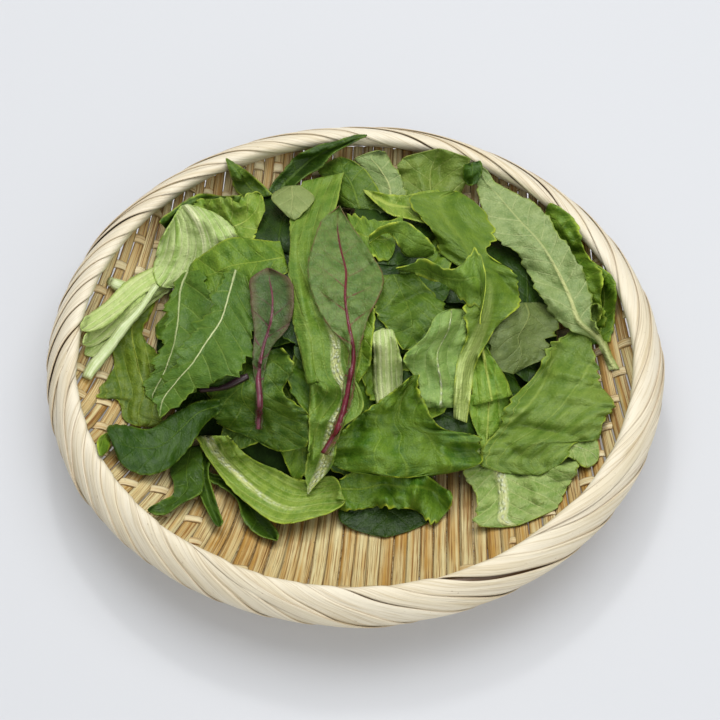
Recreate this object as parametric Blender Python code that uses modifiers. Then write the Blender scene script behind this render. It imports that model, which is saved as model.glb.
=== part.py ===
"""A heap of baby salad leaves on a round woven bamboo tray, in metres, +Z up.

The origin is on the table, under the middle of the tray. X runs to the right along the tray's cross
strips, and Y runs away from the viewer along its long splints. The tray is a dished mat inside a wound
rim. The heap is one solid: a low mound that lies on the mat, with the leaves that show fused on it.
"""

import math
from collections import namedtuple

import bmesh
import bpy
import numpy as np

MM = 0.001

# The tray's mat: a flat middle that rises to the rim as a shallow dish
MAT_THICKNESS = 1.6 * MM
MAT_FLAT_RADIUS = 46 * MM
MAT_RADIUS = 112 * MM
MAT_RISE = 23.5 * MM
MAT_CURVE = 1.8
MAT_STEPS = 56
MAT_PROFILE_POINTS = 7

# The rim: strips wound round a hoop, flattened and sloping down outwards
RIM_RADIUS = 113.8 * MM
RIM_HEIGHT = 29 * MM
RIM_HALF_WIDTH = 7.5 * MM
RIM_HALF_THICKNESS = 3.9 * MM
RIM_SLOPE = math.radians(41)
RIM_STRIPS = 5
RIM_TURNS = 5
RIM_GROOVE = 0.10
RIM_STEPS = 96

# The mound under the leaves
MOUND_CENTRE = (0 * MM, 18 * MM)
MOUND_HALF_SIZE = (84 * MM, 66 * MM)
MOUND_TOP = 50 * MM
MOUND_POWER = 2.6
MOUND_LUMP = 1.6 * MM

# Leaves
GAP = 0.4 * MM
RIM_CLEARANCE = 0.8 * MM
BLADE = 1.0 * MM
SINK = 0.7 * MM
TOUCHING = 0.08
SAMPLES = 6
ROW_STEP = 9
WIDE_LEAF = 14
DRAPE_ROUNDS = 14
GRID_CELL = 1.0 * MM
GRID_HALF = 130 * MM

# How each kind of leaf stands: waves along its edges and their height, and how much its edges turn up
# (in millimetres).
Kind = namedtuple("Kind", "waves wave cup")
KINDS = {
    "chard": Kind(0, 0, 1),
    "spinach": Kind(1, 1, 1),
    "lettuce": Kind(3, 2, 0),
    "fan": Kind(2, 2, 0),
    "romaine": Kind(1, 1, 1),
    "mizuna": Kind(1, 1, 0),
    "strap": Kind(1, 1, 2),
    "stem": Kind(0, 0, 0),
}

# The line of sight that the leaves are laid out along: its slope, and the viewer's distance from the
# point looked at.
SIGHT_SLOPE = math.radians(53.2)
SIGHT_DISTANCE = 1150 * MM
SIGHT_POINT = np.array([2.0, -0.2, 27.8]) * MM
SIGHT_ROUNDS = 10

# One leaf: its kind, its outline and how far its foot, middle and tip stand up, in millimetres. Each
# step of the outline, from foot to tip, gives the place of the left edge and of the right edge (across,
# up) as the viewer sees them on a plane through the tray's middle. Lower leaves come first.
Leaf = namedtuple("Leaf", "name kind outline lift", defaults=((0, 0, 0),))
LEAVES = [
    Leaf("front_round", "spinach", [
        (2, -35, 17.5, -35), (-6, -44.5, 26.5, -43), (-8.5, -56.5, 30.5, -54.5),
        (-6, -64, 26.5, -63), (6, -69, 13.5, -69),
    ]),
    Leaf("front_tail", "strap", [
        (-64, -36.5, -56, -35), (-61, -45, -59, -43.5), (-54, -49, -50.5, -45.5),
        (-48, -54.5, -42, -53), (-44.5, -63, -36, -61.5), (-39, -68.5, -32.5, -66.5),
        (-33, -70.5, -31.5, -70),
    ]),
    Leaf("front_tail_small", "strap", [
        (-61, -36.5, -57.5, -36), (-63.5, -45.5, -59, -44), (-63, -49.5, -57, -51),
        (-60.5, -56, -55, -59), (-56, -65.5, -53, -64),
    ]),
    Leaf("left_low", "spinach", [
        (-70, -34.5, -61.5, -33), (-74, -43, -61, -43), (-72.5, -48.5, -62.5, -52),
        (-72.5, -52.5, -68.5, -55.5), (-77.5, -55, -75.5, -60), (-83, -57.5, -82, -59.5),
    ]),
    Leaf("front_frill", "lettuce", [
        (-8, -45.5, -8, -56.5), (0.5, -43.5, 1, -59), (10, -43, 10, -55.5), (19, -45, 19, -58.5),
        (29, -46.5, 26, -61), (38, -52.5, 32, -62.5),
    ]),
    Leaf("right_front", "lettuce", [
        (50.5, -24.5, 76, -27), (42, -43, 85.5, -38.5), (44, -52, 85, -47), (46, -59.5, 84, -54.5),
        (48, -64, 79, -61), (56, -66, 69, -65),
    ]),
    Leaf("right_low", "spinach", [
        (71, -24.5, 71, -33), (76, -27.5, 76, -36.5), (85.5, -29, 83, -38.5),
        (92.5, -31.5, 88.5, -41.5), (93.5, -37, 92, -40.5),
    ]),
    Leaf("right_far", "spinach", [
        (88, 5.5, 97, 7), (89.5, 15, 99, 16.5), (90.5, 26.5, 99.5, 26.5), (91, 34.5, 96.5, 34),
        (92, 37, 92.5, 37),
    ]),
    Leaf("back_right_wavy", "lettuce", [
        (86.5, 13, 94, 13), (82, 26.5, 94.5, 25), (79.5, 35.5, 92, 34.5), (77, 44.5, 88.5, 42),
        (73.5, 51.5, 83, 52.5), (71, 60.5, 77, 61.5),
    ]),
    Leaf("back_mid", "spinach", [
        (19, 54.5, 37.5, 54.5), (14.5, 65, 40.5, 65), (13.5, 73.5, 41.5, 74), (18, 78.5, 40.5, 79),
        (28.5, 82, 32.5, 82.5),
    ]),
    Leaf("back_grey", "spinach", [
        (6, 56.5, 18, 59.5), (5.5, 67.5, 17, 69), (1, 75, 13.5, 75), (-2, 78.5, 10.5, 80),
        (5.5, 81.5, 9, 81.5),
    ]),
    Leaf("back_peak", "spinach", [
        (-9, 59.5, 9, 58), (-13.5, 70, 6, 68.5), (-15.5, 75, 1, 75), (-9, 79, -6, 79),
    ]),
    Leaf("back_arch", "strap", [
        (-37, 64, -26, 61), (-34, 69, -26, 66), (-29.5, 73.5, -21, 71.5), (-24.5, 79.5, -15.5, 75),
        (-16.5, 83.5, -11, 79.5), (-9, 85, -5, 83.5), (-2, 87.5, -0.5, 86), (2.5, 88, 3, 87),
    ]),
    Leaf("back_left_point", "spinach", [
        (-44.5, 62.5, -34, 64), (-48, 66, -38.5, 69), (-50, 71.5, -44, 73.5),
        (-52, 76.5, -49, 76.5), (-52.5, 78.5, -51.5, 78.5),
    ]),
    Leaf("left_back_dark", "spinach", [
        (-46, 64, -49, 56.5), (-53.5, 64, -56.5, 58), (-61, 64.5, -62.5, 58),
        (-68.5, 61.5, -69, 54.5), (-75, 57, -74.5, 50.5), (-78.5, 54.5, -77.5, 52.5),
    ]),
    Leaf("left_pale", "lettuce", [
        (-90, 22.5, -80.5, 23.5), (-93.5, 12, -77.5, 12), (-96.5, -1.5, -76, -3),
        (-98, -15, -71.5, -15), (-95.5, -15, -75.5, -18), (-94, -24.5, -78.5, -27),
    ]),
    Leaf("left_fan", "fan", [
        (-69, 56.5, -56.5, 61.5), (-73, 50.5, -46, 64), (-76.5, 44.5, -38, 65.5),
        (-77.5, 37, -37, 56.5), (-70.5, 33.5, -34, 44.5), (-59.5, 29.5, -28, 39.5),
    ]),
    Leaf("left_arch", "spinach", [
        (-31, 46, -27.5, 34), (-41.5, 47, -36.5, 29.5), (-53, 46.5, -47.5, 26.5),
        (-61, 41, -56.5, 25), (-67.5, 35.5, -65.5, 28),
    ]),
    Leaf("stem_low", "stem", [
        (-76.5, 32, -73.5, 29), (-81, 29, -78, 26.5), (-88.5, 22.5, -85, 19), (-95, 14, -90, 10.5),
        (-101, 4.5, -96.5, 2), (-109, -8, -104.5, -6.5),
    ]),
    Leaf("stem_high", "stem", [
        (-71.5, 41.5, -71.5, 34), (-76.5, 38.5, -76.5, 31.5), (-83.5, 36.5, -81, 28.5),
        (-88.5, 31, -86.5, 25), (-93.5, 22.5, -91, 19.5), (-99.5, 14, -96.5, 10.5),
        (-106.5, 9.5, -103, 6),
    ]),
    Leaf("mid_round", "spinach", [
        (-55, 0.5, -31, 4.5), (-59, -8, -27, -4.5), (-59, -15, -29, -13), (-56, -21.5, -23, -20),
        (-50, -27, -19.5, -26), (-42, -31, -20.5, -33), (-35.5, -35, -27, -36),
    ]),
    Leaf("ribbed_bowl", "romaine", [
        (-51.5, -29.5, -63.5, -29.5), (-46.5, -35, -59.5, -38), (-39, -40, -53.5, -45.5),
        (-31, -43.5, -44.5, -55.5), (-21.5, -47, -32, -63), (-9, -46, -16.5, -61),
        (-6.5, -52.5, -5, -56.5),
    ]),
    Leaf("inner_round", "spinach", [
        (3.5, 32.5, 22.5, 34), (4, 26.5, 28, 26.5), (7, 19, 32.5, 15), (12, 11.5, 28, 8.5),
        (15, 4.5, 19, 3.5),
    ]),
    Leaf("stalk", "stem", [
        (6.5, -18.5, 13.5, -14), (5.5, -7, 16.5, -7), (6.5, 4, 15, 4), (7, 13, 11.5, 14),
    ]),
    Leaf("behind_light", "romaine", [
        (24, -18.5, 37.5, -18.5), (22.5, -9.5, 39, -9.5), (17.5, 1, 40.5, 4), (25.5, 10, 42, 14.5),
        (30, 19, 40.5, 20.5),
    ]),
    Leaf("grey_serrated", "mizuna", [
        (55.5, 19, 75, 19), (52.5, 13, 78, 13.5), (49.5, 8, 73.5, 9.5), (51.5, 1, 74, 3.5),
        (55.5, -5, 66, -2.5), (59, -6.5, 61.5, -4),
    ]),
    Leaf("striped", "romaine", [
        (45.5, 5, 49.5, 5), (43.5, -5.5, 55.5, -5.5), (43, -17, 59.5, -14),
        (42.5, -14.5, 59.5, -13.5), (43.5, -24, 56, -23.5), (47, -33, 51.5, -31.5),
        (47.5, -40.5, 50.5, -40),
    ]),
    Leaf("dark_stem", "stem", [
        (-43.5, -5.5, -43.5, -7.5), (-47.5, -7, -48, -9.5), (-55, -10, -54, -12.5),
        (-63, -12, -61, -14.5),
    ]),
    Leaf("left_round", "spinach", [
        (-54.5, -15.5, -55, -20.5), (-64.5, -16.5, -60.5, -25.5), (-71.5, -20.5, -67.5, -35),
        (-81, -26.5, -75.5, -43), (-90, -26, -86, -44), (-96.5, -25.5, -93.5, -39.5),
        (-99.5, -26, -97, -30.5),
    ]),
    Leaf("right_big", "strap", [
        (89.5, 22, 94.5, 22), (82, 13, 91, 11.5), (72.5, 1, 92, -7), (63, -11, 98, -15),
        (56.5, -22.5, 95, -22), (51, -29.5, 93.5, -30.5), (49, -36, 81, -33),
        (47.5, -41.5, 79, -40), (55, -44, 71, -45),
    ]),
    Leaf("right_veined", "strap", [
        (97, -4, 101, -3.5), (90.5, 8, 94, 9.5), (79.5, 13, 90.5, 16), (72, 22, 89.5, 26.5),
        (66.5, 31.5, 84.5, 38.5), (60.5, 42, 77, 49.5), (51.5, 48.5, 70.5, 59),
        (47, 60, 61.5, 64.5), (45, 69, 52.5, 69.5), (40.5, 74, 49.5, 76.5),
    ]),
    Leaf("chard_under", "spinach", [
        (-4.5, 23, 5.5, 21), (-3.5, 12, 5, 8), (-4.5, -3, 3, -3), (-5.5, -11, 0, -8),
        (-7, -24.5, -4.5, -18),
    ]),
    Leaf("back_frill", "lettuce", [
        (-5, 56.5, -2, 44.5), (3, 53.5, 5.5, 41.5), (10.5, 55, 12, 39.5), (17.5, 56, 15, 48.5),
    ]),
    Leaf("fold_upper", "fan", [
        (19, -6.5, 24, -5.5), (10, -15.5, 22.5, -15), (-2.5, -22.5, 33.5, -27),
        (-8, -29.5, 45.5, -29.5), (-10, -36, 44, -35), (-10, -41.5, 46.5, -40.5),
        (3, -45.5, 29.5, -46),
    ]),
    Leaf("tall_leaf", "lettuce", [
        (36.5, -22.5, 41.5, -24.5), (36.5, -14.5, 43, -14.5), (37.5, -2, 45, -2),
        (41.5, 10, 52.5, 11.5), (42, 22, 60, 21), (40.5, 34, 62.5, 27), (32.5, 41.5, 58.5, 34),
        (27, 51.5, 50, 42), (21, 60.5, 51, 48.5), (22.5, 65, 45.5, 62), (30, 66, 43, 65.5),
    ]),
    Leaf("tall_lip", "lettuce", [
        (13.5, 36, 16, 34.5), (24, 38.5, 25, 33), (32.5, 35.5, 34, 28), (40, 38, 40.5, 24),
        (45, 41.5, 46.5, 22), (48.5, 34, 47, 19), (46.5, 14.5, 47, 13.5),
    ]),
    Leaf("inner_curl", "lettuce", [
        (3.5, 48.5, 3.5, 45), (9.5, 52, 11, 49.5), (17.5, 54, 15, 45), (23.5, 50, 17.5, 40.5),
        (30, 42, 27, 40),
    ]),
    Leaf("pale_tip", "romaine", [
        (1, 66, 2, 63.5), (7.5, 65, 7, 59.5), (13.5, 63.5, 12, 57), (19, 65, 19.5, 56),
        (26.5, 66, 25.5, 61.5),
    ]),
    Leaf("serrated_a", "mizuna", [
        (-68.5, 34, -62.5, 35), (-73, 27.5, -59.5, 29.5), (-75, 20, -56.5, 22.5),
        (-76.5, 9.5, -56.5, 12), (-80.5, -3, -60, -3), (-84, -12.5, -70, -15),
        (-83.5, -15, -76.5, -17),
    ]),
    Leaf("serrated_b", "mizuna", [
        (-50.5, 34, -42.5, 32), (-56.5, 34, -42.5, 23), (-59.5, 21, -41.5, 9.5),
        (-65.5, 8, -46.5, -5.5), (-71.5, -3, -51.5, -9), (-76.5, -15, -61.5, -12),
        (-81, -16.5, -68, -18), (-78.5, -22.5, -77.5, -22.5),
    ]),
    Leaf("centre_long", "romaine", [
        (-23.5, 67.5, -4.5, 71.5), (-26, 55, -9.5, 59.5), (-27.5, 41.5, -15.5, 41.5),
        (-26.5, 26.5, -12, 26.5), (-24.5, 8, -3.5, 8), (-20, -9, -2, -7), (-20, -8, 0, -11),
        (-19.5, -24.5, -7, -27), (-21, -43, -12.5, -43), (-21, -52, -19.5, -52),
    ]),
    Leaf("under_patch", "spinach", [
        (-29.5, 67.5, -23.5, 68), (-34, 64.5, -18.5, 64), (-30.5, 58.5, -22.5, 57),
        (-26.5, 54.5, -24.5, 54.5),
    ]),
    Leaf("chard_small", "chard", [
        (-40.5, -27, -38.5, -27), (-40.5, -14.5, -37.5, -14.5), (-41, -9, -38, -9),
        (-41.5, 4.5, -34, 5), (-41.5, 15.5, -28, 13.5), (-42.5, 24.5, -25.5, 23.5),
        (-42.5, 32, -28, 32), (-38.5, 36, -32.5, 35.5),
    ]),
    Leaf("chard_large", "chard", [
        (-15.5, -36, -13, -37), (-11.5, -29.5, -9, -30.5), (-8, -19, -4.5, -19),
        (-6.5, -10.5, -2.5, -10.5), (-5, 4.5, -0.5, 4.5), (-12, 13.5, 3, 15.5),
        (-18.5, 24.5, 7, 24.5), (-20, 35.5, 9, 33.5), (-18.5, 45.5, 3, 43), (-14, 55, -3.5, 53),
        (-9, 60, -7, 60),
    ]),
]


def material(name, colour, roughness, metallic=0.0):
    """A plain finish: one colour, roughness and metallic value."""
    finish = bpy.data.materials.new(name)
    finish.use_nodes = True
    shader = finish.node_tree.nodes["Principled BSDF"]
    shader.inputs["Base Color"].default_value = (*colour, 1.0)
    shader.inputs["Roughness"].default_value = roughness
    shader.inputs["Metallic"].default_value = metallic
    return finish


def new_object(name, mesh, collection, finish=None):
    """An object for this mesh, in this collection."""
    obj = bpy.data.objects.new(name, mesh)
    collection.objects.link(obj)
    if finish is not None:
        mesh.materials.append(finish)
    return obj


def mat_height(radius):
    """The height of the mat's upper face at this distance from the tray's middle."""
    climb = np.clip((radius - MAT_FLAT_RADIUS) / (MAT_RADIUS - MAT_FLAT_RADIUS), 0, 1)
    return MAT_THICKNESS + MAT_RISE * climb**MAT_CURVE


def rim_section(angle, groove=0.0, grown=0.0):
    """Radius and height of the rim's surface at this angle round its section: 0 is outwards, 90 up."""
    along = (RIM_HALF_WIDTH + grown) * np.cos(angle) * (1 - groove)
    across = (RIM_HALF_THICKNESS + grown) * np.sin(angle) * (1 - groove)
    radius = RIM_RADIUS + along * math.cos(RIM_SLOPE) + across * math.sin(RIM_SLOPE)
    height = RIM_HEIGHT - along * math.sin(RIM_SLOPE) + across * math.cos(RIM_SLOPE)
    return radius, height


def make_mat(collection, finish):
    """The dished mat: a profile down its rounded edge, turned about Z."""
    radii = np.linspace(MAT_RADIUS, MAT_FLAT_RADIUS, MAT_PROFILE_POINTS)
    upper = [(r, mat_height(r)) for r in radii]
    lower = [(r, mat_height(r) - MAT_THICKNESS) for r in radii[::-1]]
    profile = [(0.0, MAT_THICKNESS)] + upper[::-1] + lower[::-1] + [(0.0, 0.0)]
    mesh = bpy.data.meshes.new("woven_mat")
    points = [(r, 0.0, z) for r, z in profile]
    edges = [(i, i + 1) for i in range(len(points) - 1)]
    mesh.from_pydata(points, edges, [])
    obj = new_object("woven_mat", mesh, collection, finish)
    turn = obj.modifiers.new("Turn", "SCREW")
    turn.steps = turn.render_steps = MAT_STEPS
    turn.use_merge_vertices = True
    turn.merge_threshold = 0.0001
    turn.use_normal_calculate = True
    return obj


def make_rim(name, collection, finish=None, grown=0.0):
    """The wound rim: a torus whose rows of points follow the strips round its flattened section.

    Grown by a gap all round, it is also the shape that the leaves keep clear of.
    """
    bpy.ops.mesh.primitive_torus_add(
        major_segments=RIM_STEPS,
        minor_segments=2 * RIM_STRIPS,
        major_radius=RIM_RADIUS,
        minor_radius=RIM_HALF_WIDTH,
    )
    obj = bpy.context.object
    obj.name = obj.data.name = name
    for holder in list(obj.users_collection):
        holder.objects.unlink(obj)
    collection.objects.link(obj)
    if finish is not None:
        obj.data.materials.append(finish)
    for vertex in obj.data.vertices:
        x, y, z = vertex.co
        round_tray = math.atan2(y, x)
        round_strip = math.atan2(z, math.hypot(x, y) - RIM_RADIUS)
        row = round(round_strip / math.pi * RIM_STRIPS)
        groove = RIM_GROOVE if row % 2 else 0.0
        radius, height = rim_section(round_strip - RIM_TURNS * round_tray, groove, grown)
        vertex.co = (radius * math.cos(round_tray), radius * math.sin(round_tray), height)
    return obj


def mound_share(x, y):
    """How far a place in plan lies from the mound's middle, as a share of the mound's reach."""
    across = (x - MOUND_CENTRE[0]) / MOUND_HALF_SIZE[0]
    away = (y - MOUND_CENTRE[1]) / MOUND_HALF_SIZE[1]
    return np.hypot(across, away)


def mound_height(x, y):
    """The lumpy top of the mound."""
    share = np.clip(mound_share(x, y), 0, 1)
    lumps = MOUND_LUMP * np.sin(x / (12 * MM) + 1) * np.cos(y / (9 * MM)) * (1 - share)
    floor = mat_height(np.hypot(x, y)) + 2 * GAP
    return np.maximum(floor, MOUND_TOP * (1 - share**MOUND_POWER) + lumps)


def make_mound(collection):
    """The mound: a sphere pressed flat on the mat, its upper half raised to the mound's height."""
    mesh = bpy.data.meshes.new("mound")
    shape = bmesh.new()
    bmesh.ops.create_uvsphere(shape, u_segments=20, v_segments=8, radius=1.0)
    for vertex in shape.verts:
        level = math.asin(max(-1.0, min(1.0, vertex.co.z)))
        reach = 1 - abs(level) / (math.pi / 2)
        turn = math.atan2(vertex.co.y, vertex.co.x)
        x = MOUND_CENTRE[0] + MOUND_HALF_SIZE[0] * reach * math.cos(turn)
        y = MOUND_CENTRE[1] + MOUND_HALF_SIZE[1] * reach * math.sin(turn)
        low = float(mat_height(math.hypot(x, y))) + GAP
        high = float(mound_height(x, y)) + GAP
        vertex.co = (x, y, high if level > 0.01 else low)
    bmesh.ops.triangulate(shape, faces=shape.faces)
    shape.to_mesh(mesh)
    shape.free()
    return new_object("mound", mesh, collection)


def tray_height(x, y):
    """The height of the tray's upper face: the mat, or the rim where that is higher."""
    radius = np.hypot(x, y)
    section = np.linspace(-0.35 * math.pi, 1.35 * math.pi, 240)
    rim_radii, rim_heights = rim_section(section)
    reach = (rim_radii.min(), rim_radii.max())
    order = np.argsort(rim_radii)
    level = np.maximum.accumulate(rim_heights[order])
    top = np.interp(radius, rim_radii[order], level) + RIM_CLEARANCE
    over_rim = (radius > reach[0] - GAP) & (radius < reach[1] + GAP)
    return np.where(over_rim, top, mat_height(radius))


class Heights:
    """The top of the heap over each cell of a square grid, which each new leaf comes to rest on."""

    def __init__(self):
        steps = int(2 * GRID_HALF / GRID_CELL) + 1
        line = np.linspace(-GRID_HALF, GRID_HALF, steps)
        x, y = np.meshgrid(line, line, indexing="ij")
        on_mound = mound_share(x, y) < 1
        self.z = np.where(on_mound, mound_height(x, y), -1.0)

    def cells(self, x, y):
        most = self.z.shape[0] - 1
        i = np.clip(np.rint((x + GRID_HALF) / GRID_CELL).astype(int), 0, most)
        j = np.clip(np.rint((y + GRID_HALF) / GRID_CELL).astype(int), 0, most)
        return i, j

    def under(self, x, y):
        return self.z[self.cells(x, y)]

    def stamp(self, x, y, z):
        np.maximum.at(self.z, self.cells(x, y), z)


def finer(grid, times):
    """A grid of values with straight-line steps put in between its rows and columns."""
    rows, columns = grid.shape
    down = np.linspace(0, rows - 1, (rows - 1) * times + 1)
    along = np.linspace(0, columns - 1, (columns - 1) * times + 1)
    tall = np.array([np.interp(down, np.arange(rows), column) for column in grid.T]).T
    return np.array([np.interp(along, np.arange(columns), row) for row in tall])


def highest_near(fine, times):
    """At each point of the coarse grid, the highest value within half a step of it in the fine one."""
    reach = times // 2
    padded = np.pad(fine, reach, mode="edge")
    rows, columns = fine.shape
    high = np.full(fine.shape, -1.0)
    for i in range(2 * reach + 1):
        for j in range(2 * reach + 1):
            high = np.maximum(high, padded[i : i + rows, j : j + columns])
    return high[::times, ::times]


def blurred(grid):
    """Each value averaged with its neighbours in the grid."""
    padded = np.pad(grid, 1, mode="edge")
    return (
        padded[:-2, 1:-1] + padded[2:, 1:-1] + padded[1:-1, :-2] + padded[1:-1, 2:] + 4 * grid
    ) / 8


def seen(across, up, height):
    """Where a place in the viewer's picture lies in plan, for a point at this height."""
    ahead = np.array([0.0, math.cos(SIGHT_SLOPE), -math.sin(SIGHT_SLOPE)])
    upward = np.array([0.0, math.sin(SIGHT_SLOPE), math.cos(SIGHT_SLOPE)])
    eye = SIGHT_POINT - ahead * SIGHT_DISTANCE
    ray_y = ahead[1] * SIGHT_DISTANCE + upward[1] * up
    ray_z = ahead[2] * SIGHT_DISTANCE + upward[2] * up
    reach = (height - eye[2]) / ray_z
    return eye[0] + across * reach, eye[1] + ray_y * reach


def leaf_grid(leaf, heights, rows, columns):
    """A leaf's points: its outline as seen, laid down on the leaves under it along the line of sight.

    s runs from foot to tip and t from one edge to the other. The leaf lies as a stiff sheet on the
    highest places under it, with its own waves and turned-up edges, and sinks a little into them there,
    so that the heap holds together.
    """
    kind = KINDS[leaf.kind]
    outline = np.array(leaf.outline) * MM
    middle = (outline[:, :2] + outline[:, 2:]) / 2
    steps = np.hypot(*np.diff(middle, axis=0).T)
    place = np.concatenate([[0], np.cumsum(steps)]) / steps.sum()
    s = np.linspace(0, 1, rows)[:, None]
    t = np.linspace(-1, 1, columns)[None, :]
    left_a, left_b, right_a, right_b = (np.interp(s, place, column) for column in outline.T)
    across = (left_a * (1 - t) + right_a * (1 + t)) / 2
    up = (left_b * (1 - t) + right_b * (1 + t)) / 2
    lift = leaf.lift[0] * (1 - s) ** 2 + leaf.lift[1] * 4 * s * (1 - s) + leaf.lift[2] * s**2
    waves = kind.wave * t**2 * np.sin(2 * np.pi * (kind.waves * s + 0.25 * np.sign(t)))
    relief = (lift + kind.cup * t**2 + waves * np.sin(np.pi * s)) * MM
    z = np.full(across.shape, SIGHT_POINT[2])
    for _ in range(SIGHT_ROUNDS):
        x, y = seen(across, up, z)
        fine_x, fine_y = finer(x, SAMPLES), finer(y, SAMPLES)
        leaves = heights.under(fine_x, fine_y)
        tray = tray_height(fine_x, fine_y) + GAP
        support = highest_near(np.maximum(leaves, tray), SAMPLES) + BLADE / 2
        rest = support.copy()
        for _ in range(DRAPE_ROUNDS):
            rest = np.maximum(blurred(rest), support)
        z = (z + rest + relief) / 2
    spare = (finer(z, SAMPLES) - BLADE / 2 - leaves)[leaves > tray]
    if spare.size:
        z = z - max(0.0, np.quantile(spare, TOUCHING) + SINK)
    x, y = seen(across, up, z)
    tray = highest_near(tray_height(finer(x, SAMPLES), finer(y, SAMPLES)) + GAP, SAMPLES)
    return x, y, np.maximum(z, tray + BLADE / 2)


def make_leaf(leaf, heights, collection):
    """A thin wavy solid: a grid of triangles, thick along its rib and thin at its edges."""
    outline = np.array(leaf.outline)
    length = np.hypot(*(outline[-1, :2] - outline[0, :2]))
    width = np.hypot(*(outline[:, 2:] - outline[:, :2]).T).max()
    rows = int(np.clip(round(length / ROW_STEP) + 2, 4, 9))
    columns = 5 if width > WIDE_LEAF else 3
    x, y, z = leaf_grid(leaf, heights, rows, columns)
    shape = bmesh.new()
    bmesh.ops.create_grid(shape, x_segments=columns - 1, y_segments=rows - 1, size=1)
    for vertex in shape.verts:
        column = round((vertex.co.x + 1) / 2 * (columns - 1))
        row = round((vertex.co.y + 1) / 2 * (rows - 1))
        vertex.co = (x[row, column], y[row, column], z[row, column])
    bmesh.ops.triangulate(shape, faces=shape.faces)
    mesh = bpy.data.meshes.new(leaf.name)
    shape.to_mesh(mesh)
    shape.free()
    obj = new_object(leaf.name, mesh, collection)
    thick = obj.modifiers.new("Thickness", "SOLIDIFY")
    thick.thickness = BLADE
    thick.offset = 0
    heights.stamp(finer(x, 12), finer(y, 12), finer(z, 12) + BLADE / 2)
    return obj


def largest_body(mesh):
    """Keeps the mesh's largest closed body, so that a sealed hollow is filled and a scrap dropped."""
    shape = bmesh.new()
    shape.from_mesh(mesh)
    unseen = set(shape.faces)
    bodies = []
    while unseen:
        stack = [unseen.pop()]
        body = list(stack)
        while stack:
            for edge in stack.pop().edges:
                for face in edge.link_faces:
                    if face in unseen:
                        unseen.remove(face)
                        stack.append(face)
                        body.append(face)
        bodies.append(body)
    bodies.sort(key=len)
    spare = [face for body in bodies[:-1] for face in body]
    bmesh.ops.delete(shape, geom=spare, context="FACES")
    loose = [v for v in shape.verts if not v.link_faces]
    bmesh.ops.delete(shape, geom=loose, context="VERTS")
    shape.to_mesh(mesh)
    shape.free()


def make_heap(collection, finish):
    """The heap: the mound and every leaf joined into one solid."""
    pieces = bpy.data.collections.new("leaves")
    bpy.context.scene.collection.children.link(pieces)
    heap = make_mound(collection)
    heights = Heights()
    for leaf in LEAVES:
        make_leaf(leaf, heights, pieces)
    join = heap.modifiers.new("Join", "BOOLEAN")
    join.operation = "UNION"
    join.operand_type = "COLLECTION"
    join.collection = pieces
    join.solver = "MANIFOLD"
    graph = bpy.context.evaluated_depsgraph_get()
    joined = bpy.data.meshes.new_from_object(heap.evaluated_get(graph))
    heap.modifiers.remove(join)
    heap.data = joined
    for piece in list(pieces.objects):
        bpy.data.objects.remove(piece)
    room = make_rim("room_for_rim", pieces, grown=GAP)
    trim = heap.modifiers.new("Trim", "BOOLEAN")
    trim.operation = "DIFFERENCE"
    trim.object = room
    trim.solver = "MANIFOLD"
    graph = bpy.context.evaluated_depsgraph_get()
    joined = bpy.data.meshes.new_from_object(heap.evaluated_get(graph))
    heap.modifiers.remove(trim)
    heap.data = joined
    bpy.data.objects.remove(room)
    bpy.data.collections.remove(pieces)
    largest_body(joined)
    joined.materials.append(finish)
    heap.name = joined.name = "salad_heap"


def main():
    for obj in list(bpy.data.objects):
        bpy.data.objects.remove(obj)
    bamboo = material("bamboo", (0.62, 0.44, 0.20), 0.6)
    peeled = material("peeled_bamboo", (0.74, 0.65, 0.44), 0.55)
    green = material("leaf_green", (0.12, 0.25, 0.04), 0.45)
    tray = bpy.data.collections.new("salad_leaves_on_tray")
    bpy.context.scene.collection.children.link(tray)
    make_mat(tray, bamboo)
    make_rim("wound_rim", tray, peeled)
    make_heap(tray, green)


main()
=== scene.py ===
"""Looks for a heap of baby salad leaves on a round woven bamboo tray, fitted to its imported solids.

Lengths are in metres unless a name or comment says millimetres. X is across, Y is away from the viewer
and Z is up. Leaves are laid out along the viewer's line of sight and let down on what lies under them.
"""

import math
from collections import namedtuple

import bpy
import numpy as np
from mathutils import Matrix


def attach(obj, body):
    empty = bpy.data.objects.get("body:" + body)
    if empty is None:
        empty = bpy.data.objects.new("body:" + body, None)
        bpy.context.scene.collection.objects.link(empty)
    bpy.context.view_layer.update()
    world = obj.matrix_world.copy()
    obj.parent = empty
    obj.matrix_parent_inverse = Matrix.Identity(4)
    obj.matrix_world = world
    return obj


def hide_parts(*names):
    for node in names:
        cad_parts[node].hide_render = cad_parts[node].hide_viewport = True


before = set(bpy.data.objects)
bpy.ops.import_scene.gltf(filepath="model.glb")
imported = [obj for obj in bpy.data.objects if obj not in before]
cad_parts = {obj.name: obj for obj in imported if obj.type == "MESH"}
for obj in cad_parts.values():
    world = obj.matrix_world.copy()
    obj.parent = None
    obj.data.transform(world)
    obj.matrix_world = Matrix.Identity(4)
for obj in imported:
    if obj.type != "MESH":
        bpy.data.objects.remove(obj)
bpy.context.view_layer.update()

MM = 0.001

# The viewer: the slope of the line of sight, the distance and the point looked at
SIGHT_SLOPE = math.radians(53.2)
SIGHT_DISTANCE = 1150 * MM
SIGHT_POINT = np.array([2.0, -0.2, 27.8]) * MM
SIGHT_ROUNDS = 10
LENS = 147.8

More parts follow.
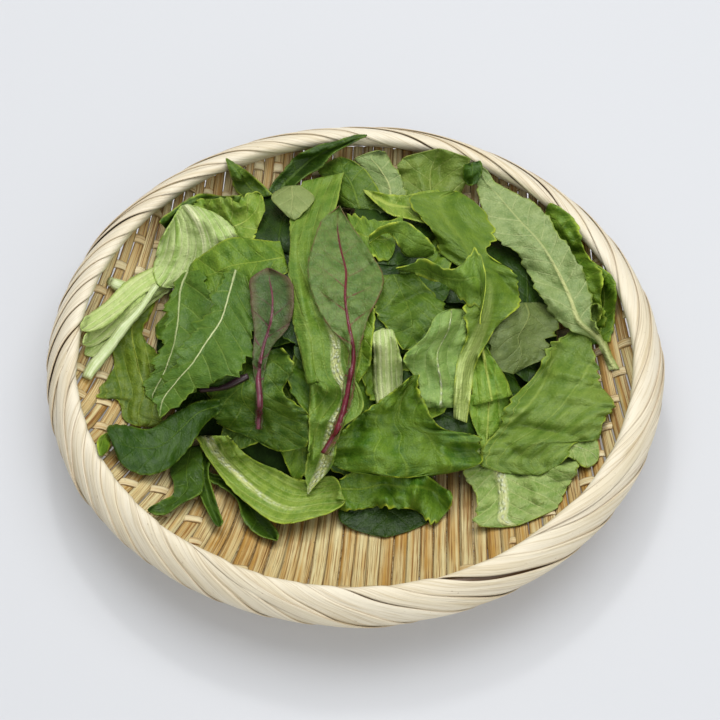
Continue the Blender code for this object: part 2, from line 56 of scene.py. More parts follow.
# The tray's mat: a flat middle, then a rise by a power of the way outwards, tucked into the rim at the
# end. Splints dip under a cross strip and crest over one, and backing strips lie below both. Cross
# strips show on top only beyond the places called shown from.
MAT_THICKNESS = 1.6 * MM
MAT_FLAT_RADIUS = 46 * MM
MAT_RADIUS = 112 * MM
MAT_RISE = 23.5 * MM
MAT_CURVE = 1.8
MAT_TUCK_START = 105 * MM
MAT_TUCK_LENGTH = 7 * MM
MAT_TUCK_RISE = 1.3 * MM
SPLINT_PITCH = 4.6 * MM
SPLINT_THICKNESS = 0.6 * MM
SPLINTS_EACH_SIDE = 26
SPLINT_DIP = 0.45 * MM
SPLINT_CREST = 0.12 * MM
CROSS_PITCH = 12.8 * MM
CROSS_WIDTH = 3.7 * MM
CROSS_THICKNESS = 0.4 * MM
CROSS_SWING = 0.62 * MM
BACKING_DEPTH = 0.72 * MM
BACKING_REACH = 57 * MM
BACKING_END = 72 * MM
BACKING_GAP = 0.3 * MM
STRIP_COLUMNS = 5
STRIP_CROWN = 0.22 * MM
WEAVE_LEVEL = MAT_THICKNESS - SPLINT_THICKNESS / 2 - 0.1 * MM
WEAVE_REACH = MAT_RADIUS + 0.8 * MM
SHOWN_FROM_SIDE = 58 * MM
SHOWN_FROM_BACK = 74 * MM
SHOWN_FROM_RIM = 97 * MM

# The tray's rim: the slope and half sizes of its section, and the strips wound round it, which turn
# round the section this many times on the way round the tray, tighter at the left
RIM_RADIUS = 113.8 * MM
RIM_HEIGHT = 29 * MM
RIM_HALF_WIDTH = 7.5 * MM
RIM_HALF_THICKNESS = 3.9 * MM
RIM_SLOPE = math.radians(41)
RIM_STRIPS = 5
RIM_TURNS = 8
RIM_TIGHTER = 3
RIM_TOP_STRIPS = 1
RIM_OVERLAP = 0.42 * MM
RIM_STRIP_THICKNESS = 0.4 * MM
RIM_TOP_STRIP_LIFT = 0.55 * MM
RIM_STEPS = 840
RIM_COLUMNS = 9
HOOP_DEPTH = 1.6 * MM
HOOP_SIDES = 24
HOOP_EVERY = 3

# The mound of hidden leaves under the ones that show: an oval whose sides fall by a power of the share
# of the way outwards
MOUND_CENTRE = (0 * MM, 18 * MM)
MOUND_HALF_SIZE = (80 * MM, 62 * MM)
MOUND_TOP = 31 * MM
MOUND_POWER = 2.6
MOUND_TOP_RINGS = 26
MOUND_LOW_RINGS = 8
MOUND_SIDES = 72
MOUND_SHARE = 0.985

# Laying leaves down: the blade's thickness, the steps between its points, and the gaps that it keeps
BLADE = 0.35 * MM
BLADE_ROW = 0.9 * MM
BLADE_COLUMN = 1.0 * MM
BLADE_ROW_LIMITS = (24, 120)
BLADE_COLUMN_LIMITS = (8, 44)
STEM_SIDES = 14
LEAF_GAP = 0.15 * MM
TRAY_GAP = 0.9 * MM
RIM_CLEARANCE = 0.6 * MM
DRAPE_STEP = 8 * MM
DRAPE_ROUNDS = 12
SAMPLES = 6
GRID_CELL = 1.0 * MM
GRID_HALF = 135 * MM
NOTHING_HERE = -1.0

# Seeds of the random draws; each leaf that shows is seeded with its number
MAT_SEED = 3
RIM_SEED = 8
FILL_SEED = 11
HIDDEN_LEAF_SEED = 500

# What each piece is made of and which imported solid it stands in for
HEAP_PIECE = {"slot": "leaf_green", "replaces": "salad_heap"}
MAT_PIECE = {"slot": "bamboo", "replaces": "woven_mat"}
RIM_PIECE = {"slot": "peeled_bamboo", "replaces": "wound_rim"}

# How far apart the patterns of two pieces lie, so that no two of them look the same
PATTERN_SPREAD = 900

# The lamps, each with its place, size and power, and the floor, all in metres and watts
LAMPS = {
    "key": ((0.15, 0.3, 1.45), 1.6, 20),
    "spark": ((-0.05, 0.8, 1.2), 0.18, 3.2),
    "front": ((0.5, -1.2, 0.9), 1.2, 6.5),
}
LAMP_AIM = (0, 0, 0.02)
SURROUND_COLOUR = (0.96, 0.98, 1.0, 1.0)
SURROUND_GLOW = 0.38
FLOOR_HALF_SIZE = 3.0
FLOOR_COLOUR = (0.49, 0.50, 0.52, 1.0)
FLOOR_GLOW_COLOUR = (0.97, 0.98, 1.0, 1.0)
FLOOR_GLOW = 0.165

# One leaf: its finish and its outline, then how far its foot, middle and tip stand up, how much its
# edges turn up, how much its right side stands higher than its left, the height and number of the waves
# along its edges, where its midrib runs between the left edge at -1 and the right edge at 1, and the
# midrib's half width at foot and tip and its height (below zero for a groove). Flat is the height of a
# round stem as a share of its width. Folds are ridges, or valleys where the height is below zero, each
# from one place to another (across, up, across, up), with its height and half width. Each step of the
# outline, from foot to tip, gives the place of the left edge and of the right edge (across, up) as the
# viewer sees them, on a plane through the tray's middle and square to the line of sight. Lengths are in
# millimetres. Lower leaves come first.
Leaf = namedtuple(
    "Leaf",
    "name paint outline lift cup tilt ruffle middle rib flat folds",
    defaults=((0, 0, 0), 0, 0, (0, 1), 0, (1, 0.4, 0), 0, ()),
)
LEAVES = [
    Leaf("front_round", "shaded", [
        (2, -35, 17.5, -35), (-6, -44.5, 26.5, -43), (-8.5, -56.5, 30.5, -54.5),
        (-6, -64, 26.5, -63), (6, -69, 13.5, -69),
    ], cup=-1, ruffle=(0.6, 2), rib=(0.5, 0.2, 0)),
    Leaf("front_tail", "deep", [
        (-64, -36.5, -56, -35), (-61, -45, -59, -43.5), (-54, -49, -50.5, -45.5),
        (-48, -54.5, -42, -53), (-44.5, -63, -36, -61.5), (-39, -68.5, -32.5, -66.5),
        (-33, -70.5, -31.5, -70),
    ], lift=(0, 1, 1), cup=3, ruffle=(0.3, 1), rib=(0.7, 0.3, -0.4)),
    Leaf("front_tail_small", "deep", [
        (-61, -36.5, -57.5, -36), (-63.5, -45.5, -59, -44), (-63, -49.5, -57, -51),
        (-60.5, -56, -55, -59), (-56, -65.5, -53, -64),
    ], lift=(0, 1, 3), cup=3, ruffle=(0.3, 1), rib=(0.8, 0.4, -0.4)),
    Leaf("left_low", "deep", [
        (-70, -34.5, -61.5, -33), (-74, -43, -61, -43), (-72.5, -48.5, -62.5, -52),
        (-72.5, -52.5, -68.5, -55.5), (-77.5, -55, -75.5, -60), (-83, -57.5, -82, -59.5),
    ], lift=(0, 1, 5), cup=1.5, ruffle=(0.6, 2), rib=(0.3, 0.2, 0), folds=(
        (-64, -37, -71, -54.5, 2, 3), (-71, -54.5, -81, -59, 1.5, 1.5)
    )),
    Leaf("left_edge", "lettuce", [
        (-95.5, -27, -93, -26), (-101.5, -30.5, -97, -29.5), (-102, -34, -97.5, -34),
        (-101.5, -38, -98.5, -36),
    ], lift=(0, 0, 1), ruffle=(0.3, 1), rib=(0.5, 0.2, 0)),
    Leaf("front_frill", "lettuce", [
        (-8, -45.5, -8, -56.5), (0.5, -43.5, 1, -59), (10, -43, 10, -55.5), (19, -45, 19, -58.5),
        (29, -46.5, 26, -61), (38, -52.5, 32, -62.5),
    ], lift=(1, 6, 3), cup=1, tilt=-2, ruffle=(3, 2.4), middle=-0.2, rib=(0.5, 0.3, 0.4), folds=(
        (-11.5, -46, -4.5, -57.5, 3.4, 2), (-3, -56, 4.5, -46.5, -3, 2.2),
        (4.5, -54.5, 17, -53.5, 3, 1.8), (19.5, -58, 23, -46.5, 4.5, 2),
        (26.5, -48, 32.5, -59, -3.4, 2.2), (33.5, -48.5, 36, -58.5, 3.4, 2), (9.5, -46, 15, -59, -2.6, 2)
    )),
    Leaf("right_front", "blistered", [
        (50.5, -24.5, 76, -27), (42, -43, 83, -38.5), (44, -52, 82.5, -46.5), (46, -59.5, 79.5, -53),
        (48, -64, 74, -58.5), (56, -66, 66, -63)
    ], lift=(0, 1, 0), ruffle=(1.8, 4), middle=-0.42, rib=(3.2, 2, 1.2), folds=(
        (66, -43, 70, -56.5, 1.6, 1.8), (72, -46.5, 83.5, -54.5, -1.6, 2.5),
        (74, -43, 85.5, -43, 1.6, 2), (51.5, -44.5, 53.5, -58.5, -2, 3)
    )),
    Leaf("right_low", "blistered", [
        (71, -24.5, 71, -33), (76, -27.5, 76, -36.5), (85.5, -29, 83, -38.5),
        (92.5, -31.5, 88.5, -41.5), (93.5, -37, 92, -40.5),
    ], lift=(0, 1, 1), ruffle=(1.2, 3), rib=(0.2, 0.1, 0)),
    Leaf("back_right_dark", "shaded", [
        (56, 8, 72, 10), (50, 20, 80, 20), (48, 34, 82, 32), (50, 46, 78, 44), (56, 54, 70, 54),
    ], lift=(0, 2, 0), ruffle=(1.5, 2), rib=(0.5, 0.3, -0.3)),
    Leaf("back_left_dark", "shaded", [
        (-44, 44, -20, 40), (-45, 52, -17, 50), (-42, 60, -14, 60), (-36, 66, -16, 68),
    ], lift=(0, 2, 0), ruffle=(2, 2), rib=(0.5, 0.3, -0.3)),
    Leaf("back_middle_dark", "shaded", [
        (0, 38, 22, 36), (-4, 48, 28, 46), (-2, 58, 30, 56), (4, 64, 26, 64),
    ], lift=(0, 1, 0), ruffle=(1.5, 2), rib=(0.5, 0.3, -0.3)),
    Leaf("right_far", "bright", [
        (88, 5.5, 97, 7), (89.5, 15, 99, 16.5), (90.5, 26.5, 99.5, 26.5), (91, 34.5, 96.5, 34),
        (92, 37, 92.5, 37),
    ], lift=(0, 1, 2), ruffle=(1, 2), rib=(0.6, 0.3, 0)),
    Leaf("back_right_wavy", "bright", [
        (86.5, 13, 94, 13), (82, 26.5, 94.5, 25), (79.5, 35.5, 92, 34.5), (77, 44.5, 88.5, 42),
        (73.5, 51.5, 83, 52.5), (71, 60.5, 77, 61.5),
    ], lift=(0, 2, 3), cup=1, ruffle=(2.6, 2.2), middle=-0.2, rib=(0.4, 0.3, 0), folds=(
        (75, 56.5, 85.5, 41, 2.5, 2.2), (78.5, 43, 87.5, 42, -2.5, 2), (83.5, 35, 91.5, 23.5, 2.2, 2.5),
        (80, 52.5, 77, 44.5, -2, 2)
    )),
    Leaf("back_mid", "back", [
        (19, 54.5, 37.5, 54.5), (14.5, 65, 40.5, 65), (13.5, 73.5, 41.5, 74), (18, 78.5, 40.5, 79),
        (28.5, 82, 32.5, 82.5),
    ], lift=(0, 1, 3), cup=-1, ruffle=(1.6, 2), rib=(0.5, 0.3, -0.2), folds=(
        (21.5, 78, 25.5, 64, 1.8, 2.5), (31, 80, 31, 66, -1.8, 3)
    )),
    Leaf("back_grey", "under", [
        (6, 56.5, 18, 59.5), (5.5, 67.5, 17, 69), (1, 75, 13.5, 75), (-2, 78.5, 10.5, 80),
        (5.5, 81.5, 9, 81.5),
    ], lift=(0, 2, 5), cup=-2, ruffle=(0.5, 1), rib=(0.6, 0.3, 0.3)),
    Leaf("back_peak", "mid", [
        (-9, 59.5, 9, 58), (-13.5, 70, 6, 68.5), (-15.5, 75, 1, 75), (-9, 79, -6, 79),
    ], lift=(0, 3, 4), cup=-3, ruffle=(0.5, 1), rib=(0.6, 0.3, 0)),
    Leaf("back_arch", "deep", [
        (-37, 64, -26, 61), (-34, 69, -26, 66), (-29.5, 73.5, -21, 71.5), (-24.5, 79.5, -15.5, 75),
        (-16.5, 83.5, -11, 79.5), (-9, 85, -5, 83.5), (-2, 87.5, -0.5, 86), (2.5, 88, 3, 87),
    ], lift=(0, 5, 5), cup=2.5, ruffle=(0.4, 1), rib=(0.8, 0.4, -0.5)),
    Leaf("back_left_point", "mid", [
        (-44.5, 62.5, -34, 64), (-48, 66, -38.5, 69), (-50, 71.5, -44, 73.5),
        (-52, 76.5, -49, 76.5), (-52.5, 78.5, -51.5, 78.5),
    ], lift=(0, 3, 4), cup=2, ruffle=(0.3, 1), middle=0.1, rib=(0.5, 0.3, 0.4)),
    Leaf("left_back_dark", "mid", [
        (-46, 64, -49, 56.5), (-53.5, 64, -56.5, 58), (-61, 64.5, -62.5, 58),
        (-68.5, 61.5, -69, 54.5), (-75, 57, -74.5, 50.5), (-78.5, 54.5, -77.5, 52.5),
    ], lift=(0, 1, 2), cup=1.5, ruffle=(0.8, 2), rib=(0.5, 0.2, -0.3)),
    Leaf("left_pale", "streaked", [
        (-90, 22.5, -81, 23.5), (-93.5, 12, -84, 11.5), (-96.5, -1.5, -76, -3),
        (-98, -15, -71.5, -15), (-95.5, -15, -75.5, -18), (-94, -24.5, -78.5, -27),
    ], lift=(0, 2, 0), cup=-2, ruffle=(1.6, 2), rib=(0.3, 0.2, 0), folds=(
        (-81.5, 23.5, -85.5, -15.5, 1.8, 3), (-77, 11.5, -78, -15.5, -1.6, 3),
        (-90.5, 8, -92.5, -15.5, -1.4, 3)
    )),
    Leaf("stem_stub", "stem_white", [
        (-84, 26.5, -85.5, 22), (-90, 28.5, -91, 23.5), (-94, 30.5, -95, 26), (-96.5, 32, -97.5, 28.5),
    ], flat=0.7),
    Leaf("stem_fork_low", "petiole", [
        (-74.5, 33.5, -71.5, 29.5), (-84.5, 26, -81, 21.5), (-93.5, 18.5, -89.5, 13.5),
        (-101, 10.5, -97, 6), (-106.5, 6, -102.5, 1.5), (-108, 3, -106, 1),
    ], lift=(1, 1, 1), cup=0.5, ruffle=(0.5, 3), rib=(4, 3, 0)),
    Leaf("stem_fork_middle", "petiole", [
        (-71, 38, -67.5, 34), (-81.5, 31, -78, 26), (-92, 23, -88, 17.5), (-100.5, 15.5, -96, 10),
        (-107, 10, -103, 5.5), (-109, 8, -106.5, 4.5),
    ], lift=(1, 2, 1), cup=-0.5, ruffle=(0.5, 3), rib=(4, 3, 0)),
    Leaf("stem_fork_high", "petiole", [
        (-66, 46, -62.5, 40.5), (-77, 38, -73, 32.5), (-88, 32.5, -83.5, 26.5), (-97.5, 24, -92.5, 18.5),
        (-106.5, 16.5, -102.5, 11.5), (-109.5, 13.5, -107.5, 10),
    ], lift=(1, 2, 2), cup=-1, ruffle=(0.6, 3), rib=(4, 3, 0)),
    Leaf("fan_lobe", "lobe", [
        (-67, 60, -61, 44.5), (-61, 63.5, -53, 43), (-55, 62.5, -45.5, 44.5), (-48, 61.5, -40.5, 50),
        (-43, 65.5, -37.5, 55), (-39.5, 67, -36.5, 60.5),
    ], lift=(1, 5, 4), cup=-1, ruffle=(2.6, 2.5), middle=0.2, rib=(0.4, 0.2, 0), folds=(
        (-60.5, 61, -53.5, 45, -2.4, 2.2), (-53.5, 61, -46.5, 47.5, 2.2, 2),
        (-46.5, 61, -40.5, 53.5, -2, 2)
    )),
    Leaf("left_fan", "fan", [
        (-69.5, 60, -67.5, 60.5), (-73.5, 53.5, -59, 58.5), (-78, 46.5, -51, 53.5),
        (-79.5, 39.5, -47.5, 46), (-80, 32.5, -50.5, 37.5), (-77.5, 27, -58.5, 29.5),
    ], lift=(3, 4, 0), cup=-2, ruffle=(1, 3), middle=0.2, rib=(1.5, 0.9, 1.4), folds=(
        (-67.5, 58, -73, 38, 1.2, 1.2), (-66, 58, -66, 34, 1, 1.2), (-63, 57, -50, 42, 1.2, 1.4)
    )),
    Leaf("left_arch", "bright", [
        (-31, 46, -27.5, 34), (-41.5, 47, -36.5, 29.5), (-53, 46.5, -47.5, 26.5),
        (-61, 41, -56.5, 25), (-67.5, 35.5, -65.5, 28),
    ], lift=(1, 6, 2), cup=-2, ruffle=(1.2, 1.5), rib=(0.3, 0.2, 0), folds=(
        (-60.5, 39.5, -48.5, 45.5, 2, 3), (-50, 38, -33, 41, -2, 3), (-43, 48.5, -29, 38, 1.8, 3)
    )),
    Leaf("stem_low", "stem_white", [
        (-80.5, 29.5, -78, 27), (-87, 20.5, -84, 18.5), (-94.5, 12, -91, 9), (-101.5, 3, -97.5, 0),
        (-107, -4, -103, -7), (-108, -6, -104.5, -9),
    ], flat=0.6),
    Leaf("mid_round", "mid", [
        (-55, 0.5, -31, 4.5), (-59, -8, -27, -4.5), (-59, -15, -29, -13), (-56, -21.5, -23, -20),
        (-50, -27, -19.5, -26), (-42, -31, -20.5, -33), (-35.5, -35, -27, -36),
    ], lift=(1, 5, 2), ruffle=(2.2, 2.6), middle=-0.1, rib=(0.3, 0.2, 0), folds=(
        (-50, -19, -46.5, -26.5, 2, 2), (-32, -9.5, -22.5, -25.5, 2, 2), (-43, -15.5, -33, -31, -1.8, 4)
    )),
    Leaf("ribbed_bowl", "bowl", [
        (-51.5, -29.5, -63.5, -29.5), (-46.5, -35, -59.5, -38), (-39, -40, -53.5, -45.5),
        (-31, -43.5, -44.5, -55.5), (-21.5, -47, -32, -63), (-9, -46, -16.5, -61),
        (-6.5, -52.5, -5, -56.5),
    ], lift=(1, 4, 3), cup=3, tilt=1, ruffle=(0.7, 2), middle=0.3, rib=(2.2, 1, 1), folds=(
        (-52.5, -30, -23.5, -46, 1.4, 1.6), (-46.5, -37, -15.5, -54.5, -1.4, 1.6),
        (-23.5, -46, -8, -51.5, -1.2, 2)
    )),
    Leaf("inner_round", "mid", [
        (3.5, 32.5, 22.5, 34), (4, 26.5, 28, 26.5), (7, 19, 32.5, 15), (12, 11.5, 28, 8.5),
        (15, 4.5, 19, 3.5),
    ], lift=(0, 1, 2), cup=1, ruffle=(1.4, 2), rib=(0.3, 0.2, 0), folds=(
        (7, 18.5, 25.5, 27, -2.2, 2), (9.5, 13.5, 27, 23.5, 1.8, 2.5), (15.5, 11.5, 25.5, 6, -1.5, 3)
    )),
    Leaf("stalk", "stalk", [
        (6.5, -18.5, 16.5, -14), (5.5, -7, 16.5, -7), (5, 4, 15, 4), (5, 11.5, 13, 13),
    ], lift=(0, 1, 2), cup=-2.5, rib=(9, 7, 0), folds=(
        (8, -15.5, 8, 11, 0.9, 0.8), (11, -15.5, 10, 11.5, 0.9, 0.8), (14, -14, 12.5, 11, -0.8, 0.8)
    )),
    Leaf("behind_light", "romaine", [
        (24, -18.5, 37.5, -18.5), (22.5, -9.5, 39, -9.5), (17.5, 1, 40.5, 4), (25.5, 10, 42, 14.5),
        (30, 19, 40.5, 20.5),
    ], lift=(0, 4, 1), cup=1, ruffle=(0.8, 2), middle=0.1, rib=(0.6, 0.3, 0.3), folds=(
        (26, 6, 33, -9.5, 1.6, 1.6), (31, 11.5, 37, 0, -1.4, 2)
    )),
    Leaf("grey_serrated", "grey", [
        (59, 22, 69.5, 22.5), (54, 17, 77.5, 18), (50, 13, 78, 13.5), (49.5, 8, 73.5, 9.5),
        (51.5, 1, 74, 3.5), (55.5, -4.5, 65.5, -2.5), (59, -6, 61, -4.5),
    ], lift=(0, 1, 0), cup=1, ruffle=(0.8, 3), rib=(0.5, 0.2, 0.3)),
    Leaf("striped", "striped", [
        (45.5, 5, 49.5, 5), (43.5, -5.5, 55.5, -5.5), (43, -17, 59.5, -14),
        (42.5, -14.5, 59.5, -13.5), (43.5, -24, 56, -23.5), (47, -33, 51.5, -31.5),
        (47.5, -40.5, 50.5, -40),
    ], lift=(0, 2, 0), cup=-2, ruffle=(0.7, 2), rib=(0.8, 0.3, 0.3), folds=(
        (47.5, 4, 56.5, -15.5, 1.6, 1.2), (51.5, 6, 60.5, -9.5, -1.4, 1.4)
    )),
    Leaf("dark_stem", "stem_purple", [
        (-43.5, -5.5, -43.5, -7.5), (-47.5, -7, -48, -9.5), (-55, -10, -54, -12.5),
        (-63, -12, -61, -14.5),
    ], flat=0.8),
    Leaf("left_round", "deep_smooth", [
        (-54.5, -15.5, -55, -20.5), (-64.5, -16.5, -60.5, -25.5), (-71.5, -20.5, -67.5, -35),
        (-81, -26.5, -75.5, -43), (-90, -26, -86, -44), (-96.5, -25.5, -93.5, -39.5),
        (-99.5, -26, -97, -30.5),
    ], lift=(0, 5, 3), cup=-3, ruffle=(0.8, 1.5), middle=-0.1, rib=(0.3, 0.2, 0), folds=(
        (-99.5, -26.5, -81, -27.5, 2.6, 3), (-81, -27.5, -64, -16, 2.4, 3),
        (-91.5, -33, -76, -37, -1.5, 5)
    )),
    Leaf("right_big", "smooth", [
        (55, -44, 71, -45), (47.5, -41.5, 79, -40), (49, -36, 81, -33), (51, -29.5, 93.5, -30.5),
        (56.5, -22.5, 95, -22), (63, -11, 98, -15), (72.5, 1, 92, -7), (82, 13, 91, 11.5),
        (89.5, 22, 94.5, 22),
    ], lift=(1, 6, 2), cup=-2.5, ruffle=(2, 3), middle=-0.85, rib=(0.3, 0.2, 0), folds=(
        (56.5, -25, 70.5, -15.5, 1.8, 2.2), (59, -24.5, 85.5, -30, -2.8, 2.2),
        (52.5, -34.5, 78, -31.5, 1.6, 2.5), (62.5, -15.5, 78, 2, -1.8, 3),
        (54.5, -31, 66, -39.5, -1.4, 2), (72, -4.5, 89.5, -8, 1.8, 3),
        (73, -13.5, 92.5, -15.5, 1.6, 2.4)
    )),
    Leaf("right_veined", "under", [
        (97, -4, 101, -3.5), (90.5, 8, 94, 9.5), (79.5, 13, 90.5, 16), (72, 22, 89.5, 26.5),
        (66.5, 31.5, 84.5, 38.5), (60.5, 42, 77, 49.5), (51.5, 48.5, 70.5, 59),
        (47, 60, 61.5, 64.5), (45, 69, 52.5, 69.5), (40.5, 74, 49.5, 76.5),
    ], lift=(1, 6, 6), cup=-1.5, ruffle=(1.6, 3.5), middle=0.15, rib=(1.8, 0.3, 1.3), folds=(
        (54.5, 56.5, 70, 43, 1.5, 3), (62.5, 37, 78, 27, -1.8, 3), (70, 29, 78, 18.5, 2, 2)
    )),
    Leaf("veined_tip", "deep_smooth", [
        (40.5, 76, 46.5, 77.5), (39.8, 73, 47.5, 74.5), (40.2, 70, 47, 71.5), (42, 67.6, 45.5, 68.5),
    ], lift=(1, 2, 1), cup=1, rib=(0.3, 0.1, 0)),
    Leaf("chard_under", "bright", [
        (-4.5, 23, 5.5, 21), (-3.5, 12, 5, 8), (-4.5, -3, 3, -3), (-5.5, -11, 0, -8),
        (-7, -24.5, -4.5, -18),
    ], lift=(0, 1, 1), cup=2, ruffle=(0.5, 2), rib=(0.8, 0.4, 0)),
    Leaf("back_frill", "bright", [
        (-5, 56.5, -2, 44.5), (3, 53.5, 5.5, 41.5), (10.5, 55, 12, 39.5), (17.5, 56, 15, 48.5),
    ], lift=(0, 2, 2), ruffle=(2, 2), rib=(0.6, 0.3, 0)),
    Leaf("fold_upper", "lettuce", [
        (19, -6.5, 24, -5.5), (10, -15.5, 22.5, -15), (-2.5, -22.5, 33.5, -27),
        (-8, -29.5, 45.5, -29.5), (-10, -36, 44, -35), (-10, -41.5, 46.5, -40.5),
        (3, -45.5, 29.5, -46),
    ], lift=(3, 8, 4), cup=-3, ruffle=(3.4, 3.8), rib=(0.3, 0.2, 0), folds=(
        (15.5, -16.5, 12.5, -36, -3, 5), (22, -9.5, 26, -20, 2.4, 1.8), (26, -20, 41, -27, 3, 2),
        (25.5, -31, 39.5, -35, -2, 3), (-4, -31, 8, -37.5, 1.8, 4), (4.5, -22.5, -4, -36, -2, 3),
        (31, -28, 33.5, -43, 2, 2.2)
    )),
    Leaf("pale_tip", "lobe", [
        (1, 66.5, 2, 65), (6, 65.5, 6.5, 61), (11, 64, 11.5, 57), (16.5, 64, 17.5, 55),
        (23.5, 65.5, 25.5, 53.5), (32, 66, 33.5, 55.5),
    ], lift=(2, 4, 2), cup=2, ruffle=(1.2, 2.5), rib=(1.6, 0.3, 0.4), folds=(
        (2.5, 65.5, 17.5, 59, -1.8, 2),
    )),
    Leaf("tall_leaf", "tall", [
        (36.5, -22.5, 41.5, -24.5), (36.5, -14.5, 43, -14.5), (37.5, -2, 45, -2),
        (41.5, 10, 52.5, 11.5), (42, 22, 60, 21), (40.5, 34, 62.5, 27), (32.5, 41.5, 58.5, 34),
        (27, 51.5, 50, 42), (21, 60.5, 51, 48.5), (22.5, 65, 45.5, 62), (30, 66, 43, 65.5),
    ], lift=(1, 5, 5), cup=-2, ruffle=(2, 2.5), middle=-0.1, rib=(8, 0.6, 0.8), folds=(
        (27, 56.5, 43, 41, 1.8, 3), (35, 60.5, 46.5, 46.5, -1.8, 3), (48, 41, 46.5, 11.5, 2, 2),
        (52.5, 35, 60.5, 23.5, -2, 3), (37.5, 0, 37.5, -21.5, 1.2, 1.5)
    )),
    Leaf("tall_lip", "lip", [
        (13.5, 36, 16, 34.5), (24, 38.5, 25, 33), (32.5, 35.5, 34, 28), (40, 38, 40.5, 24),
        (45, 41.5, 46.5, 22), (48.5, 34, 47, 19), (46.5, 14.5, 47, 13.5),
    ], lift=(4, 7, 3), tilt=-5, ruffle=(1.4, 2), rib=(0.1, 0.1, 0), folds=(
        (25.5, 38, 35, 29, -2.5, 4), (37, 37, 46, 27, 2, 3)
    )),
    Leaf("inner_curl", "lip", [
        (3.5, 48.5, 3.5, 45), (9.5, 52, 11, 49.5), (17.5, 54, 15, 45), (23.5, 50, 17.5, 40.5),
        (30, 42, 27, 40),
    ], lift=(3, 6, 3), tilt=-4, ruffle=(1, 1.5), rib=(0.1, 0.1, 0)),
    Leaf("serrated_a", "mizuna", [
        (-68.5, 34, -62.5, 35), (-73, 27.5, -59.5, 29.5), (-75, 20, -56.5, 22.5),
        (-76.5, 9.5, -56.5, 12), (-80.5, -3, -60, -3), (-84, -12.5, -70, -15),
        (-83.5, -15, -76.5, -17),
    ], lift=(1, 4, 2), cup=1, ruffle=(0.8, 3), middle=-0.45, rib=(0.45, 0.25, 0.5), folds=(
        (-69, 23.5, -74, -8, 1.4, 3),
    )),
    Leaf("serrated_b", "mizuna", [
        (-50, 36, -44, 32.5), (-54.5, 30, -41, 19), (-59.5, 18, -41.5, 8), (-67, 9, -44, -1),
        (-70.5, 2, -49, -5.5), (-75.5, -7.5, -60.5, -10), (-79.5, -15.5, -70, -16.5),
        (-78.5, -22.5, -77.5, -23)
    ], lift=(1, 5, 2), cup=1, ruffle=(1, 3), middle=-0.4, rib=(0.45, 0.25, 0.5), folds=(
        (-48.5, 27, -43, 11.5, 1.6, 4), (-56, 4, -44.5, -2, 1.5, 5), (-60, 22, -66, 12, -1.8, 3)
    )),
    Leaf("centre_long", "long_rib", [
        (-22, 69.5, -6, 73), (-26, 60.5, -8, 66), (-27, 50, -11.5, 52), (-27.5, 41.5, -15, 41.5),
        (-27, 26.5, -12, 26.5), (-24.5, 8, -3.5, 8), (-20, -9, -2, -7), (-20, -8, 0, -11),
        (-19.5, -24.5, -7, -27), (-21, -43, -12.5, -43), (-21, -52, -19.5, -52),
    ], lift=(1, 4, 2), cup=1, ruffle=(0.8, 2), middle=0.42, rib=(0.3, 2.3, 0.8), folds=(
        (-24.5, 56.5, -25, 37.5, 2.4, 2.4), (-25, 37.5, -20, 8, 2.4, 2.4), (-20, 8, -16.5, -31, 2, 1.8),
        (-20, 48.5, -18.5, 22.5, -2.8, 2.2), (-18.5, 22.5, -13, 0, -1.8, 2),
        (-13, 0, -15, -31, -1.4, 1.5), (-16.5, 64, -9.5, 56.5, 2.4, 2.6), (-11.5, 71, -15, 60.5, -2, 2)
    )),
    Leaf("under_patch", "pale_under", [
        (-29.5, 67.5, -23.5, 68), (-34, 64.5, -18.5, 64), (-30.5, 58.5, -22.5, 57),
        (-26.5, 54.5, -24.5, 54.5),
    ], lift=(0, 2, 2), cup=-1, ruffle=(0.4, 1), rib=(0.5, 0.2, 0.2)),
    Leaf("chard_small", "chard_dark", [
        (-40.5, -27, -38.5, -27), (-40.5, -14.5, -37.5, -14.5), (-41, -9, -38, -9),
        (-41.5, 4.5, -34, 5), (-41.5, 15.5, -28, 13.5), (-42.5, 24.5, -25.5, 23.5),
        (-42.5, 32, -28, 32), (-38.5, 36, -32.5, 35.5),
    ], lift=(2, 4, 3), cup=1.2, ruffle=(0.4, 2), rib=(1.2, 0.7, -0.2)),
    Leaf("chard_large", "chard", [
        (-15.5, -36, -13, -37), (-11.5, -29.5, -9, -30.5), (-8, -19, -4.5, -19),
        (-6.5, -10.5, -2.5, -10.5), (-5, 4.5, -0.5, 4.5), (-12, 13.5, 3, 15.5),
        (-18.5, 24.5, 7, 24.5), (-20, 35.5, 9, 33.5), (-18.5, 45.5, 3, 43), (-14, 55, -3.5, 53),
        (-9, 60, -7, 60),
    ], lift=(2, 3, 3), cup=1.5, ruffle=(0.5, 2), rib=(1, 0.7, -0.2)),
]

# Leaves that fill the mound between and behind the ones above: rings of them, each with its distance
# from the mound's middle as a share of its reach, their number, length and width in millimetres.
FILL_RINGS = [(0.93, 19, 44, 24), (0.68, 15, 52, 30), (0.4, 8, 50, 30), (0.1, 3, 50, 32)]
# The shaded greens among them are painted shade for the dark gaps between the leaves on top.
FILL_PAINTS = ["mid", "shaded", "deep", "lettuce", "shaded", "deep_smooth", "bright", "shaded"]

# How deep the teeth of a toothed leaf are in millimetres, how fast the waves of the other leaves' edges
# turn with each millimetre, and the stem finish of each kind of chard
TOOTH_DEPTHS = {"mizuna": 4.0, "under": 1.3, "grey": 4.0}
EDGE_WAVES = (0.31, 0.83, 1.9)
CHARD_STEMS = {"chard": "stem_red", "chard_dark": "stem_pink"}


